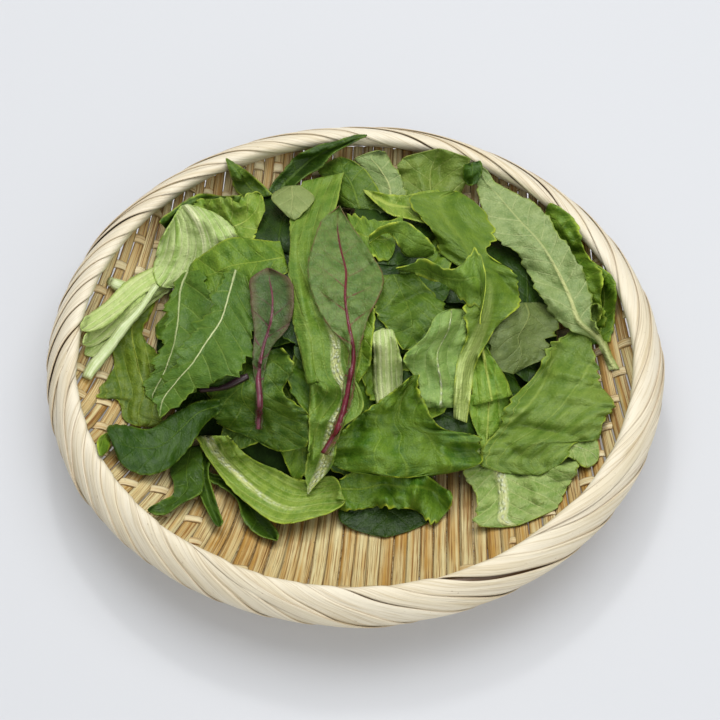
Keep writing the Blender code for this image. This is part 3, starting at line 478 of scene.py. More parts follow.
def smooth_through(place, values, at):
    """Reads a smooth curve that passes through the given values.

    Between two knots it is the cubic with the knots' values and slopes, and each slope is the average
    rate of change on both sides of its knot.
    """
    slope = np.gradient(values, place, axis=0)
    k = np.clip(np.searchsorted(place, at, side="right") - 1, 0, len(place) - 2)
    step = place[k + 1] - place[k]
    u = (at - place[k]) / step
    if values.ndim > 1:
        step, u = step[:, None], u[:, None]
    rise = (2 * u**3 - 3 * u**2 + 1) * values[k] + (u**3 - 2 * u**2 + u) * step * slope[k]
    return rise + (3 * u**2 - 2 * u**3) * values[k + 1] + (u**3 - u**2) * step * slope[k + 1]


def enlarged(grid, rows, columns):
    """A smooth surface through a coarse grid of values, read at more rows and columns."""
    tall = smooth_through(np.linspace(0, 1, grid.shape[0]), grid, np.linspace(0, 1, rows))
    return smooth_through(np.linspace(0, 1, grid.shape[1]), tall.T, np.linspace(0, 1, columns)).T


def finer(grid, times):
    """A grid of values with straight-line steps put in between its rows and columns."""
    rows, columns = grid.shape
    down = np.linspace(0, rows - 1, (rows - 1) * times + 1)
    along = np.linspace(0, columns - 1, (columns - 1) * times + 1)
    tall = np.array([np.interp(down, np.arange(rows), column) for column in grid.T]).T
    return np.array([np.interp(along, np.arange(columns), row) for row in tall])


def highest_near(fine, times):
    """At each point of the coarse grid, the highest value within half a step of it in the fine one."""
    reach = times // 2
    padded = np.pad(fine, reach, mode="edge")
    rows, columns = fine.shape
    high = np.full(fine.shape, NOTHING_HERE)
    for i in range(2 * reach + 1):
        for j in range(2 * reach + 1):
            high = np.maximum(high, padded[i : i + rows, j : j + columns])
    return high[::times, ::times]


def blurred(grid):
    """Each value averaged with its neighbours in the grid."""
    padded = np.pad(grid, 1, mode="edge")
    sides = padded[:-2, 1:-1] + padded[2:, 1:-1] + padded[1:-1, :-2] + padded[1:-1, 2:]
    return (sides + 4 * grid) / 8


def seen(across, up, height):
    """Where a place in the viewer's picture lies in plan, for a point at this height."""
    ahead = np.array([0.0, math.cos(SIGHT_SLOPE), -math.sin(SIGHT_SLOPE)])
    upward = np.array([0.0, math.sin(SIGHT_SLOPE), math.cos(SIGHT_SLOPE)])
    eye = SIGHT_POINT - ahead * SIGHT_DISTANCE
    ray_y = ahead[1] * SIGHT_DISTANCE + upward[1] * up
    ray_z = ahead[2] * SIGHT_DISTANCE + upward[2] * up
    reach = (height - eye[2]) / ray_z
    return eye[0] + across * reach, eye[1] + ray_y * reach


def in_plan(across, up, height):
    """A place that is given in plan already."""
    return across, up


def mat_height(radius):
    """The height of the mat's upper face at this distance from the tray's middle."""
    climb = np.clip((radius - MAT_FLAT_RADIUS) / (MAT_RADIUS - MAT_FLAT_RADIUS), 0, 1)
    return MAT_THICKNESS + MAT_RISE * climb**MAT_CURVE


def rim_section(angle, out=0.0):
    """Radius and height of the rim's surface at this angle round its section: 0 is outwards, 90 up."""
    along = (RIM_HALF_WIDTH + out) * np.cos(angle)
    across = (RIM_HALF_THICKNESS + out) * np.sin(angle)
    radius = RIM_RADIUS + along * math.cos(RIM_SLOPE) + across * math.sin(RIM_SLOPE)
    height = RIM_HEIGHT - along * math.sin(RIM_SLOPE) + across * math.cos(RIM_SLOPE)
    return radius, height


def tray_height(x, y):
    """The height of the tray's upper face: the mat, or the rim where that is higher."""
    radius = np.hypot(x, y)
    radii, heights = rim_section(np.linspace(-0.35 * math.pi, 1.35 * math.pi, 240))
    order = np.argsort(radii)
    level = np.maximum.accumulate(heights[order])
    top = np.interp(radius, radii[order], level) + RIM_CLEARANCE
    over_rim = (radius > radii.min() - TRAY_GAP) & (radius < radii.max() + TRAY_GAP)
    return np.where(over_rim, top, mat_height(radius))


def mound_height(x, y):
    """The lumpy top of the mound, and below everything where there is no mound."""
    across = (x - MOUND_CENTRE[0]) / MOUND_HALF_SIZE[0]
    away = (y - MOUND_CENTRE[1]) / MOUND_HALF_SIZE[1]
    share = np.hypot(across, away)
    lumps = 2.2 * MM * np.sin(x / (9 * MM) + 1) * np.cos(y / (8 * MM)) * (1 - np.clip(share, 0, 1))
    top = MOUND_TOP * (1 - np.clip(share, 0, 1) ** MOUND_POWER) + lumps
    floor = mat_height(np.hypot(x, y)) + 2 * TRAY_GAP
    return np.where(share < 1, np.maximum(top, floor), NOTHING_HERE)


class Heights:
    """The top of the heap over each cell of a square grid, which each new leaf comes to rest on."""

    def __init__(self):
        line = np.linspace(-GRID_HALF, GRID_HALF, int(2 * GRID_HALF / GRID_CELL) + 1)
        x, y = np.meshgrid(line, line, indexing="ij")
        self.z = mound_height(x, y)

    def cells(self, x, y):
        most = self.z.shape[0] - 1
        i = np.clip(np.rint((x + GRID_HALF) / GRID_CELL).astype(int), 0, most)
        j = np.clip(np.rint((y + GRID_HALF) / GRID_CELL).astype(int), 0, most)
        return i, j

    def under(self, x, y):
        return self.z[self.cells(x, y)]

    def stamp(self, x, y, z):
        np.maximum.at(self.z, self.cells(x, y), z)


def grid_faces(rows, columns, round_rows=False, round_columns=False):
    """The four corners of each face of a grid of points, which may close on itself either way."""
    down = np.arange(rows if round_rows else rows - 1)
    along = np.arange(columns if round_columns else columns - 1)
    i, j = (a.ravel() for a in np.meshgrid(down, along, indexing="ij"))
    i2, j2 = (i + 1) % rows, (j + 1) % columns
    corners = [i * columns + j, i2 * columns + j, i2 * columns + j2, i * columns + j2]
    return np.stack(corners, axis=1)


def joined(strips, round_rows=False):
    """Several grids of points as one: their points, their faces and the values stored on them."""
    faces, start = [], 0
    for points, _ in strips:
        faces.append(grid_faces(*points.shape[:2], round_rows=round_rows) + start)
        start += points.shape[0] * points.shape[1]
    values = {}
    for key in strips[0][1]:
        spread = [np.broadcast_to(own[key], points.shape[:2]) for points, own in strips]
        values[key] = np.concatenate([value.ravel() for value in spread])
    points = np.concatenate([points.reshape(-1, 3) for points, _ in strips])
    return points, np.concatenate(faces), values


def new_piece(name, points, faces, finish, values, slot, replaces, thickness=0.0):
    """A shown piece from its points and faces, with the values that its finish reads off its surface."""
    mesh = bpy.data.meshes.new(name)
    mesh.from_pydata(points.reshape(-1, 3), [], faces.tolist())
    mesh.polygons.foreach_set("use_smooth", np.ones(len(mesh.polygons), dtype=bool))
    for key, value in values.items():
        stored = mesh.attributes.new(key, "FLOAT", "POINT")
        stored.data.foreach_set("value", np.ravel(value).astype(np.float32))
    mesh.materials.append(finish)
    mesh.update()
    piece = bpy.data.objects.new(name, mesh)
    bpy.context.scene.collection.objects.link(piece)
    if thickness:
        thick = piece.modifiers.new("Thickness", "SOLIDIFY")
        thick.thickness = thickness
        thick.offset = 0
    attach(piece, "root")
    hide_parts(replaces)


class Term:
    """A number worked out on the surface, which can be added, multiplied and so on like any other."""

    def __init__(self, paint, socket):
        self.paint = paint
        self.socket = socket

    def maths(self, operation, *others, clamp=False):
        return self.paint.maths(operation, self, *others, clamp=clamp)

    def __add__(self, other):
        return self.maths("ADD", other)

    __radd__ = __add__

    def __mul__(self, other):
        return self.maths("MULTIPLY", other)

    __rmul__ = __mul__

    def __sub__(self, other):
        return self.maths("SUBTRACT", other)

    def __rsub__(self, other):
        return self.paint.maths("SUBTRACT", other, self)

    def __truediv__(self, other):
        return self.maths("DIVIDE", other)

    def __rtruediv__(self, other):
        return self.paint.maths("DIVIDE", other, self)

    def __pow__(self, other):
        return self.maths("POWER", other)

    def __abs__(self):
        return self.maths("ABSOLUTE")

    def fraction(self):
        return self.maths("FRACT")

    def clamped(self):
        return self.maths("ADD", 0.0, clamp=True)

    def falls(self, start, end):
        """One up to start, zero from end on, and straight in between."""
        return ((end - self) / (end - start)).clamped()

    def rises(self, start, end):
        """Zero up to start, one from end on, and straight in between."""
        return ((self - start) / (end - start)).clamped()


class Paint:
    """A finish whose colour, roughness and bumps are worked out from values stored on the surface."""

    def __init__(self, name, roughness):
        self.material = bpy.data.materials.new(name)
        self.material.use_nodes = True
        self.tree = self.material.node_tree
        self.shader = self.tree.nodes["Principled BSDF"]
        self.shader.inputs["Roughness"].default_value = roughness

    def node(self, kind, inputs=(), **settings):
        """A node of this kind, with its settings and what goes into each of its sockets."""
        made = self.tree.nodes.new(kind)
        for key, value in settings.items():
            setattr(made, key, value)
        for socket, value in dict(inputs).items():
            if isinstance(value, Term):
                self.tree.links.new(value.socket, made.inputs[socket])
            elif isinstance(value, bpy.types.NodeSocket):
                self.tree.links.new(value, made.inputs[socket])
            else:
                made.inputs[socket].default_value = value
        return made

    def maths(self, operation, *values, clamp=False):
        made = self.node("ShaderNodeMath", enumerate(values), operation=operation, use_clamp=clamp)
        return Term(self, made.outputs[0])

    def value(self, name):
        return Term(self, self.node("ShaderNodeAttribute", attribute_name=name).outputs["Fac"])

    def vector(self, x, y, z):
        return self.node("ShaderNodeCombineXYZ", enumerate((x, y, z))).outputs[0]

    def noise(self, vector, detail=2.0, rough=0.5):
        inputs = {"Vector": vector, "Scale": 1.0, "Detail": detail, "Roughness": rough}
        return Term(self, self.node("ShaderNodeTexNoise", inputs).outputs["Fac"])

    def cells(self, vector, feature="DISTANCE_TO_EDGE"):
        inputs = {"Vector": vector, "Scale": 1.0}
        made = self.node("ShaderNodeTexVoronoi", inputs, feature=feature)
        return Term(self, made.outputs["Distance"])

    def mix(self, factor, first, second):
        made = self.node("ShaderNodeMix", {0: factor, 6: first, 7: second}, data_type="RGBA")
        return made.outputs[2]

    def finish(self, colour, bump, depth, roughness=None):
        """The finished material, with bumps of this depth in metres."""
        self.tree.links.new(colour, self.shader.inputs["Base Color"])
        if roughness is not None:
            self.tree.links.new(roughness.socket, self.shader.inputs["Roughness"])
        made = self.node("ShaderNodeBump", {"Strength": 1.0, "Distance": depth, "Height": bump})
        self.tree.links.new(made.outputs["Normal"], self.shader.inputs["Normal"])
        return self.material


def colour(code):
    """A colour written as red, green and blue pairs, turned into the amounts of light they stand for."""
    parts = [int(code[i : i + 2], 16) / 255 for i in (1, 3, 5)]
    light = [p / 12.92 if p <= 0.04045 else ((p + 0.055) / 1.055) ** 2.4 for p in parts]
    return (*light, 1.0)


# A leaf's finish: the blade's darker and lighter greens, the colours of its veins, rib and edge (the
# edge colour is partly the leaf's own paler rim and partly a painted highlight along it), how the
# side veins run and how far apart they are (millimetres), how far they show, how high the blade stands
# in pleats between them and in small lumps (millimetres), how strongly a net of fine veins shows, how
# rough the rib is with blisters, and where along the leaf the rib fades out.
Green = namedtuple(
    "Green",
    "dark light vein rib edge pattern spacing show pleat lump net blister rib_end",
    defaults=("pinnate", 7.0, 0.3, 0.15, 0.15, 0.2, 0.0, 0.8),
)
GREENS = {
    "deep": Green("#2C4216", "#466522", "#5C7A36", "#547230", "#688634", show=0.25, net=0.15),
    # shaded: the deep greens darkened, a painted shade for leaves that lie in the shadow of others and in the
    # gaps between them.
    "shaded": Green("#243816", "#38521E", "#46602A", "#425A26", "#55742A", show=0.2, net=0.15, lump=0.3),
    "deep_smooth": Green("#2E4A10", "#43631A", "#54742C", "#527228", "#688830", show=0.15, net=0.1),
    "mid": Green("#3A5A22", "#628036", "#7D9848", "#6C8A3E", "#A2BC4A", show=0.25, lump=0.3, net=0.3),
    "lettuce": Green(
        "#3A601C", "#668930", "#84A448", "#779440", "#B0C84A", "fan", 8.0, 0.25, 0.2, 0.35, 0.2, rib_end=0.5
    ),
    "bright": Green("#4A6E26", "#7A9C3C", "#94B053", "#86A248", "#A8C44A", show=0.25, pleat=0.3, lump=0.5),
    "lobe": Green("#628634", "#98B25A", "#B4C880", "#A8BE70", "#B0C858", show=0.25, pleat=0.3, lump=0.5),
    "smooth": Green(
        "#46682B", "#6E8C40", "#98B266", "#89A254", "#98B24C", "fan", 9.0, 0.3, 0.15, 0.35, 0.1
    ),
    "back": Green("#56742F", "#7E9452", "#98AC70", "#8CA060", "#94A85C", spacing=8.0, show=0.3, lump=0.3),
    "under": Green(
        "#6E8A5C", "#9AB086", "#B6C8A2", "#B8C698", "#86A14A", spacing=7.0, show=0.3, lump=0.35, net=0.2
    ),
    "grey": Green("#546840", "#72865A", "#86966A", "#7E8E5A", "#74883E", spacing=6.0, show=0.15, net=0.1),
    "pale_under": Green("#72885C", "#8CA072", "#A2B488", "#A0B284", "#98AA70", spacing=5.0, net=0.2),
    "blistered": Green(
        "#709250", "#A6BC88", "#C0D0A4", "#CAD6B2", "#98B04C", "pinnate", 5.0, 0.3, 0.4, 0.5, 0.3, 1.0, 1.2
    ),
    "streaked": Green(
        "#466226", "#728836", "#8A9E48", "#93A84E", "#9AB040", "parallel", 5.0, 0.25, 0.4, 0.4, 0.2
    ),
    "fan": Green(
        "#8CB066", "#B0CC98", "#C8DABA", "#D8E4CE", "#90B44E", "fan", 3.0, 0.6, 0.5, 0.3, 0.1, 0.2, 0.6
    ),
    "romaine": Green(
        "#5A8240", "#8CAE6A", "#A8C290", "#B8CCA4", "#9BB548", "parallel", 4.6, 0.2, 0.3, 0.4, 0.2, 1.0, 1.2
    ),
    "bowl": Green(
        "#5A7E30", "#94B058", "#AEC47A", "#CFDCB0", "#9BB548", "parallel", 3.0, 0.25, 0.4, 0.3, 0.1, 1.0, 0.6
    ),
    "striped": Green(
        "#56802E", "#8AAC4E", "#9AB25E", "#A8BA6C", "#9CB548", "parallel", 4.0, 0.2, 0.25, 0.6, 0.3
    ),
    "stalk": Green(
        "#90B06E", "#BCD2A4", "#D6E4CE", "#CCDAB8", "#A2BE70", "parallel", 1.9, 0.35, 0.14, 0.1, 0.0, 0.0, 0.1
    ),
    "petiole": Green(
        "#8EB068", "#B6CE94", "#D2E0C4", "#C8D8AE", "#A4C078", "parallel", 2.2, 0.35, 0.12, 0.2, 0.0, 0.0, 0.1
    ),
    "long_rib": Green(
        "#48702A", "#7A9A48", "#96AE60", "#D2DCB4", "#93AC54", "parallel", 4.6, 0.2, 0.3, 0.2, 0.1, 1.2, 2.0
    ),
    "tall": Green(
        "#426427", "#688733", "#84A04A", "#BED49C", "#B0C84A", "fan", 7.0, 0.25, 0.2, 0.3, 0.2, 0.0, 0.4
    ),
    "lip": Green("#547634", "#7A9E40", "#84A44E", "#759444", "#B8CE54", "fan", 6.0, 0.2, 0.1, 0.3, 0.3),
    "mizuna": Green(
        "#40632A", "#5E8036", "#7F9C52", "#C6D6B8", "#6F8F38", spacing=8.0, show=0.35, pleat=0.3, rib_end=1.1
    ),
    "chard": Green("#4A6A34", "#758E58", "#74334A", "#74334A", "#6B4A40", spacing=11.0, show=0.6),
    "chard_dark": Green("#36502C", "#587048", "#643450", "#643450", "#54443E", spacing=8.0, show=0.6),
}

# A stem's finish: its own colour, that of its fine lines and that of its darker stretches
STEMS = {
    "stem_white": ("#B2C280", "#D6DEB2", "#94AE58"),
    "stem_purple": ("#2C1B1D", "#453036", "#1A1012"),
    "stem_red": ("#560F1E", "#7C2030", "#38080F"),
    "stem_pink": ("#581828", "#864858", "#380C16"),
}


def pigment(code):
    """A leaf's own colour: what is seen, less the little white that its gloss adds."""
    red, green, blue = (max(0.4 * part, part - 0.012) for part in colour(code)[:3])
    return (red * 1.15, green * 1.03, blue * 0.75, 1.0)


def leaf_paint(name, green):
    """A leaf's finish.

    The value run counts the side veins: each lies where it passes a whole number. The blade swells like
    a cushion between them and, smaller, in the meshes of a net of fine veins, and painted shade makes it
    darker in the creases, with painted light on the rises of its wrinkles, meshes and lumps. The midrib
    is streaked along its length.
    """
    paint = Paint(name, 0.45)
    along, across, share = paint.value("along"), paint.value("across"), paint.value("share")
    ribness, edge, tone = paint.value("ribness"), paint.value("edge"), paint.value("tone")
    run, lump = paint.value("run"), paint.value("lump")
    side = abs(across)
    seed = tone * PATTERN_SPREAD
    between = abs((run + 40.5).fraction() - 0.5)
    away = between * green.spacing
    red = name.startswith("leaf_chard")
    reach = side.falls(3, 11) * share.falls(0.65, 0.9) if red else side.falls(14, 34)
    broken = paint.noise(paint.vector(along * 0.3, across * 0.3, seed + 11), 2.0).rises(0.3, 0.5)
    vein = away.falls(0.12, 0.6 if red else 0.45) * reach * broken
    cushion = (between * 2.0).clamped() ** 0.6
    mesh = (paint.cells(paint.vector(along * 0.3, across * 0.3, seed)) * 2.4).clamped()
    net = mesh.falls(0.03, 0.2)
    small_mesh = (paint.cells(paint.vector(along * 0.95, across * 0.95, seed)) * 2.2).clamped()
    patches = paint.noise(paint.vector(along * 0.06, across * 0.08, seed + 7), 3.0, 0.6)
    wrinkle = paint.noise(paint.vector(along * 0.45, across * 0.16, seed + 5), 4.0, 0.55)
    grain = paint.noise(paint.vector(along * 1.2, across * 1.2, seed), 3.0, 0.6)
    quilt = 0.25 + green.net
    # Random patches, grain and tone, then painted light and shade that follow the relief: lighter on the
    # lumps, the wrinkles' rises and the net's meshes, darker in their creases.
    light = patches.rises(0.32, 0.7) * 0.3 + (grain - 0.5) * 0.5 + (tone - 0.5) * 0.3 + lump * 0.3
    light = light + (wrinkle - 0.5) * 1.1 + (mesh - 0.5) * (0.35 * quilt) + (small_mesh - 0.6) * 0.25
    blade = paint.mix((light + 0.32).clamped(), pigment(green.dark), pigment(green.light))
    if name == "leaf_chard_dark":
        flush = edge.falls(0.2, 3.4) * share.rises(0.4, 0.85)
        blade = paint.mix(flush * 0.6, blade, pigment("#6A4A48"))
    if green.pattern != "pinnate":
        band = paint.noise(paint.vector(along * 0.02, run * 1.7, seed + 2), 3.0, 0.6)
        blade = paint.mix(band.rises(0.4, 0.62) * (green.show * 0.9), blade, pigment(green.vein))
    blade = paint.mix(net * (green.net * 0.5), blade, pigment(green.vein))
    blade = paint.mix((vein * green.show * 1.2).clamped(), blade, pigment(green.vein))
    rib = ribness.falls(0.5, 1.15) * share.falls(green.rib_end - 0.25, green.rib_end + 0.2)
    if name == "leaf_long_rib":
        rib = rib * share.rises(0.42, 0.56)
    streak = paint.noise(paint.vector(along * 0.05, across * 1.6, seed), 2.0)
    rib_tint = paint.mix(streak.rises(0.4, 0.62) * 0.6, pigment(green.rib), pigment(green.light))
    blade = paint.mix(rib * 0.9, blade, rib_tint)
    # The edge colour, in patches along the edges: partly the leaf's own paler rim, partly a painted
    # highlight.
    edge_tint_and_highlight = paint.noise(paint.vector(along * 0.25, across * 0.25, seed + 3), 1.0).rises(0.35, 0.6)
    tint = paint.mix(edge.falls(0.1, 0.7) * edge_tint_and_highlight * 0.8, blade, pigment(green.edge))
    bump = grain * 0.3 + wrinkle * (0.4 + 2.6 * green.lump) + mesh * quilt + small_mesh * 0.3
    bump = bump + cushion * (0.3 + green.pleat * 0.7) - vein * 0.3 + streak * rib * 0.8
    if green.blister:
        spots = paint.cells(paint.vector(along * 0.6, across * 0.75, seed), "F1")
        bubbles = spots.falls(0.1, 0.6) * rib
        bump = bump + bubbles * (1.6 * green.blister)
        tint = paint.mix((bubbles * (green.blister * 0.75)).clamped(), tint, colour("#DCE4CA"))
    paint.shader.inputs["Specular IOR Level"].default_value = 0.33
    return paint.finish(tint, bump, 0.42 * MM, grain * 0.25 + 0.35)


def stem_paint(name, base, lines, dark):
    """A stem's finish: fine lines along it, with darker and lighter stretches."""
    paint = Paint(name, 0.3)
    along, across = paint.value("along"), paint.value("across")
    seed = paint.value("tone") * PATTERN_SPREAD
    streak = paint.noise(paint.vector(along * 0.04, across * 1.3, seed), 3.0)
    patch = paint.noise(paint.vector(along * 0.12, across * 0.2, seed), 2.0)
    tint = paint.mix(streak.rises(0.4, 0.65), colour(base), colour(lines))
    tint = paint.mix(patch.rises(0.45, 0.8) * 0.6, tint, colour(dark))
    drops = paint.noise(paint.vector(along * 1.1, across * 1.1, seed), 2.0)
    return paint.finish(tint, streak * 0.8 + drops * 0.5, 0.3 * MM)


def bamboo_paint(name, pale, warm, line, dark_fleck_and_edge_shade, fibre, contrast, edge_shade=0.6):
    """Split bamboo: fine fibres that run along each strip, with stray specks, and painted shade that darkens
    each strip towards its edges.
    """
    paint = Paint(name, 0.5)
    along, across, tone = paint.value("along"), paint.value("across"), paint.value("tone")
    seed = tone * PATTERN_SPREAD
    broad = paint.noise(paint.vector(along * 0.012, across * fibre * 0.35, seed), 2.0)
    fine = paint.noise(paint.vector(along * 0.03, across * fibre, seed), 3.0, 0.65)
    thin = paint.noise(paint.vector(along * 0.02, across * fibre * 2.4, seed + 5), 2.0)
    patch = paint.noise(paint.vector(along * 0.05, across * 0.1, seed + 9), 2.0)
    speck = paint.noise(paint.vector(along * 0.5, across * 1.2, seed + 3), 1.0).rises(0.74, 0.8)
    warmth = (broad.rises(0.35, 0.7) * 0.6 + patch.rises(0.4, 0.8) * 0.35 + (tone - 0.5) * 0.5) * contrast
    tint = paint.mix(warmth.clamped(), colour(pale), colour(warm))
    tint = paint.mix((fine.rises(0.5, 0.62) * 0.7 * contrast).clamped(), tint, colour(line))
    tint = paint.mix((thin.rises(0.6, 0.7) * 0.55 * contrast).clamped(), tint, colour(dark_fleck_and_edge_shade))
    tint = paint.mix(speck * 0.5, tint, colour(dark_fleck_and_edge_shade))
    # Painted shade: each strip is darkened towards its edges, where it meets the next one.
    tint = paint.mix(paint.value("edge").falls(0.0, 0.4) * edge_shade, tint, colour(dark_fleck_and_edge_shade))
    bump = fine * 0.9 + thin * 0.6 + broad
    return paint.finish(tint, bump, 0.25 * MM, fine * 0.2 + 0.42)


def lumps(x, y, size, rng):
    """Rounded lumps with creases between them: the mean of the sizes of five sine waves that cross.

    Each wave runs its own way and its half length is about the given size.
    """
    total = np.zeros(np.broadcast(x, y).shape)
    for _ in range(5):
        turn, shift = rng.uniform(0, 2 * np.pi, 2)
        step = np.pi / (size * rng.uniform(0.8, 1.6))
        total += np.abs(np.sin(step * (x * math.cos(turn) + y * math.sin(turn)) + shift))
    return total / 5 - 0.64


def outline_steps(leaf):
    """A leaf's outline, and how far it is from each of its steps to the next along the middle."""
    outline = np.array(leaf.outline) * MM
    middle = (outline[:, :2] + outline[:, 2:]) / 2
    return outline, np.hypot(*np.diff(middle, axis=0).T)


def layout(leaf, s, t, rng):
    """A leaf's places at shares s of its length and t of its half width, as its outline gives them.

    Both edges are smooth curves through the outline's steps. The tip is rounded off as a quarter circle
    and the edges get waves or teeth of their own: the sum of two rising ramps, or of three sines.
    """
    outline, steps = outline_steps(leaf)
    place = np.concatenate([[0], np.cumsum(steps)]) / steps.sum()
    sides = smooth_through(place, outline, s)
    left, right = sides[:, :2], sides[:, 2:]
    centre, half = (left + right) / 2, (right - left) / 2
    width = np.hypot(*half.T)
    rounded = np.sqrt(np.clip(1 - (np.clip(s - 0.93, 0, 1) / 0.07) ** 2, 0.03, 1))
    bumps, length = [], s * steps.sum() / MM
    for _ in range(2):
        shift = rng.uniform(0, 2 * np.pi, 3)
        if leaf.paint in TOOTH_DEPTHS:
            teeth = ((length / 11 + shift[0]) % 1.0) ** 2.2 + 0.4 * ((length / 3.7 + shift[1]) % 1.0) ** 2
            bump = TOOTH_DEPTHS[leaf.paint] * (teeth - 0.4) * np.sin(np.pi * s) ** 0.5
        else:
            rough = 1.8 if leaf.ruffle[0] > 1.2 else 0.4
            slow, quick, fast = (np.sin(length * turn + start) for turn, start in zip(EDGE_WAVES, shift))
            bump = rough * (slow * 0.6 + (0.7 * np.abs(quick) + 0.3 * fast) * (0.6 + slow / 2))
        if leaf.paint == "tall":
            bump = bump * np.clip((s - 0.28) / 0.2, 0, 1)
        bumps.append(np.clip(bump * MM / np.maximum(width, 1e-5), -0.4, 0.4))
    if leaf.flat:
        rounded, bumps = np.ones(len(s)), [np.zeros(len(s))] * 2
    growth = np.where(t[None, :] < 0, bumps[0][:, None], bumps[1][:, None]) * np.abs(t[None, :]) ** 3
    reach = t[None, :] * rounded[:, None] * (1 + growth)
    places = centre[:, None, :] + half[:, None, :] * reach[..., None]
    return places[..., 0], places[..., 1], steps.sum(), width


def fold_height(fold, across, up):
    """A fold's height: rounded at its line, falling off to both sides of it, and a sine along it."""
    a0, b0, a1, b1, height, width = (value * MM for value in fold)
    line = np.array([a1 - a0, b1 - b0])
    length = np.hypot(*line)
    along = ((across - a0) * line[0] + (up - b0) * line[1]) / length**2
    near = np.clip(along, 0, 1)
    away = np.hypot(across - a0 - near * line[0], up - b0 - near * line[1])
    across_it = np.exp(0.35 - np.sqrt((1.3 * away / width) ** 2 + 0.12))
    return 1.6 * height * across_it * np.sin(np.pi * np.clip(along * 0.8 + 0.1, 0, 1))


def lay_down(leaf, spot, heights, seed):
    """Lets a leaf down on what lies under it, and gives its points and how they lie on the leaf.

    A coarse sheet first rests on the highest places under it, like a stiff card that then bends to
    them. The fine sheet is the smooth surface through it, with waves along its edges, each the sum of
    three sines, that grow with the power 2.2 of the share of the way from the middle to the edge. The
    rib is a ridge or groove along one line of its points. Then come the pleats between the side veins,
    two sizes of lumps, and the folds. Where it would still pass through something it is eased up.
    """
    outline, steps = outline_steps(leaf)
    width = np.hypot(*(outline[:, 2:] - outline[:, :2]).T).max()
    length = steps.sum()
    s = np.linspace(0, 1, max(6, round(length / DRAPE_STEP) + 2))
    t = np.linspace(-1, 1, max(4, round(width / DRAPE_STEP) + 2))
    across, up, _, _ = layout(leaf, s, t, np.random.default_rng(seed))
    stand = leaf.lift[0] * (1 - s) ** 2 + leaf.lift[1] * 4 * s * (1 - s) + leaf.lift[2] * s**2
    relief = (stand[:, None] + leaf.cup * t[None, :] ** 2 + leaf.tilt * t[None, :]) * MM
    z = np.full(across.shape, SIGHT_POINT[2])
    for _ in range(SIGHT_ROUNDS):
        x, y = spot(across, up, z)
        fine_x, fine_y = finer(x, SAMPLES), finer(y, SAMPLES)
        under = np.maximum(heights.under(fine_x, fine_y), tray_height(fine_x, fine_y) + TRAY_GAP)
        support = highest_near(under, SAMPLES)
        rest = support.copy()
        for _ in range(DRAPE_ROUNDS):
            rest = np.maximum(blurred(rest), support)
        z = (z + rest + relief) / 2
    spare = finer(z, SAMPLES) - under
    z = z - max(0.0, np.quantile(spare, 0.06))

    rows = int(np.clip(length / BLADE_ROW, *BLADE_ROW_LIMITS))
    columns = int(np.clip(width / BLADE_COLUMN, *BLADE_COLUMN_LIMITS)) | 1
    s, t = np.linspace(0, 1, rows), np.linspace(-1, 1, columns)
    rng = np.random.default_rng(seed)
    across, up, length, half = layout(leaf, s, t, rng)
    z = enlarged(z, rows, columns)
    rib_line = t[np.abs(t - leaf.middle).argmin()]
    side = (t[None, :] - rib_line) * half[:, None]
    foot, tip, height = leaf.rib
    rib_half = (tip + (foot - tip) * (1 - s) ** 2.5) * MM
    ribness = np.abs(side) / rib_half[:, None]
    phase = rng.uniform(0, 2 * np.pi, 4)
    turns = 2 * np.pi * leaf.ruffle[1] * s
    for k, sign in enumerate((-1, 1)):
        wave = np.sin(turns + phase[k]) + 0.45 * np.sin(2.3 * turns + phase[k + 2])
        wave = wave + 0.35 * np.sin(5.1 * turns + phase[k + 1])
        reach = np.clip(sign * t, 0, 1) ** 2.2
        fade = np.sin(np.pi * s**0.8)[:, None] ** 0.6
        z = z + leaf.ruffle[0] * MM * wave[:, None] * reach[None, :] * fade
    z = z + height * MM * np.exp(-((ribness * 1.1) ** 2)) * (1 - 0.7 * s[:, None])
    green = GREENS.get(leaf.paint, GREENS["deep"])
    along = np.broadcast_to((s * length)[:, None], across.shape) / MM
    out = side / MM
    drift = 0.35 * np.sin(along / 7 + phase[0]) + 0.3 * np.sin(out / 6 + along / 11 + phase[1])
    if green.pattern == "pinnate":
        run = (along - 0.8 * np.abs(out)) / green.spacing + np.where(out > 0, 0.5, 0) + 0.4 * drift
    elif green.pattern == "fan":
        run = out / (along + 16) * (32 / green.spacing) + 0.5 * drift
    else:
        run = out / green.spacing + 0.6 * drift
    lump = lumps(along, out, 5.0, rng)
    z = z - green.pleat * MM * 0.5 * np.cos(2 * np.pi * run) * np.clip(ribness - 0.5, 0, 1)
    z = z + green.lump * MM * lump * 3 * np.clip(ribness - 0.8, 0, 1)
    z = z + (1.2 + 3.5 * green.lump) * MM * lumps(along, out, 12.0, rng) * np.clip(ribness - 0.8, 0, 1)
    for fold in leaf.folds:
        z = z + fold_height(fold, across, up)
    x, y = spot(across, up, z)
    under = np.maximum(heights.under(x, y) + LEAF_GAP, tray_height(x, y) + TRAY_GAP) + BLADE / 2
    push = np.maximum(under - z, 0)
    spread = push
    for _ in range(4):
        spread = np.maximum(blurred(spread), push)
    z = z + spread
    x, y = spot(across, up, z)
    edge = np.minimum((1 - np.abs(t[None, :])) * half[:, None], (1 - s[:, None]) * length)
    values = {
        "along": along,
        "across": out,
        "run": run,
        "lump": lump * 2,
        "share": np.broadcast_to(s[:, None], x.shape),
        "ribness": ribness,
        "edge": edge / MM,
        "tone": np.full(x.shape, rng.uniform()),
    }
    return x, y, z, values


def steps_along(path):
    """How far each point of a path is from its start."""
    return np.concatenate([[0], np.cumsum(np.linalg.norm(np.diff(path, axis=0), axis=1))])


def running_mean(values, count):
    """Each value averaged with its neighbours in a row, this many in all."""
    return np.convolve(np.pad(values, count // 2, mode="edge"), np.ones(count) / count, "valid")


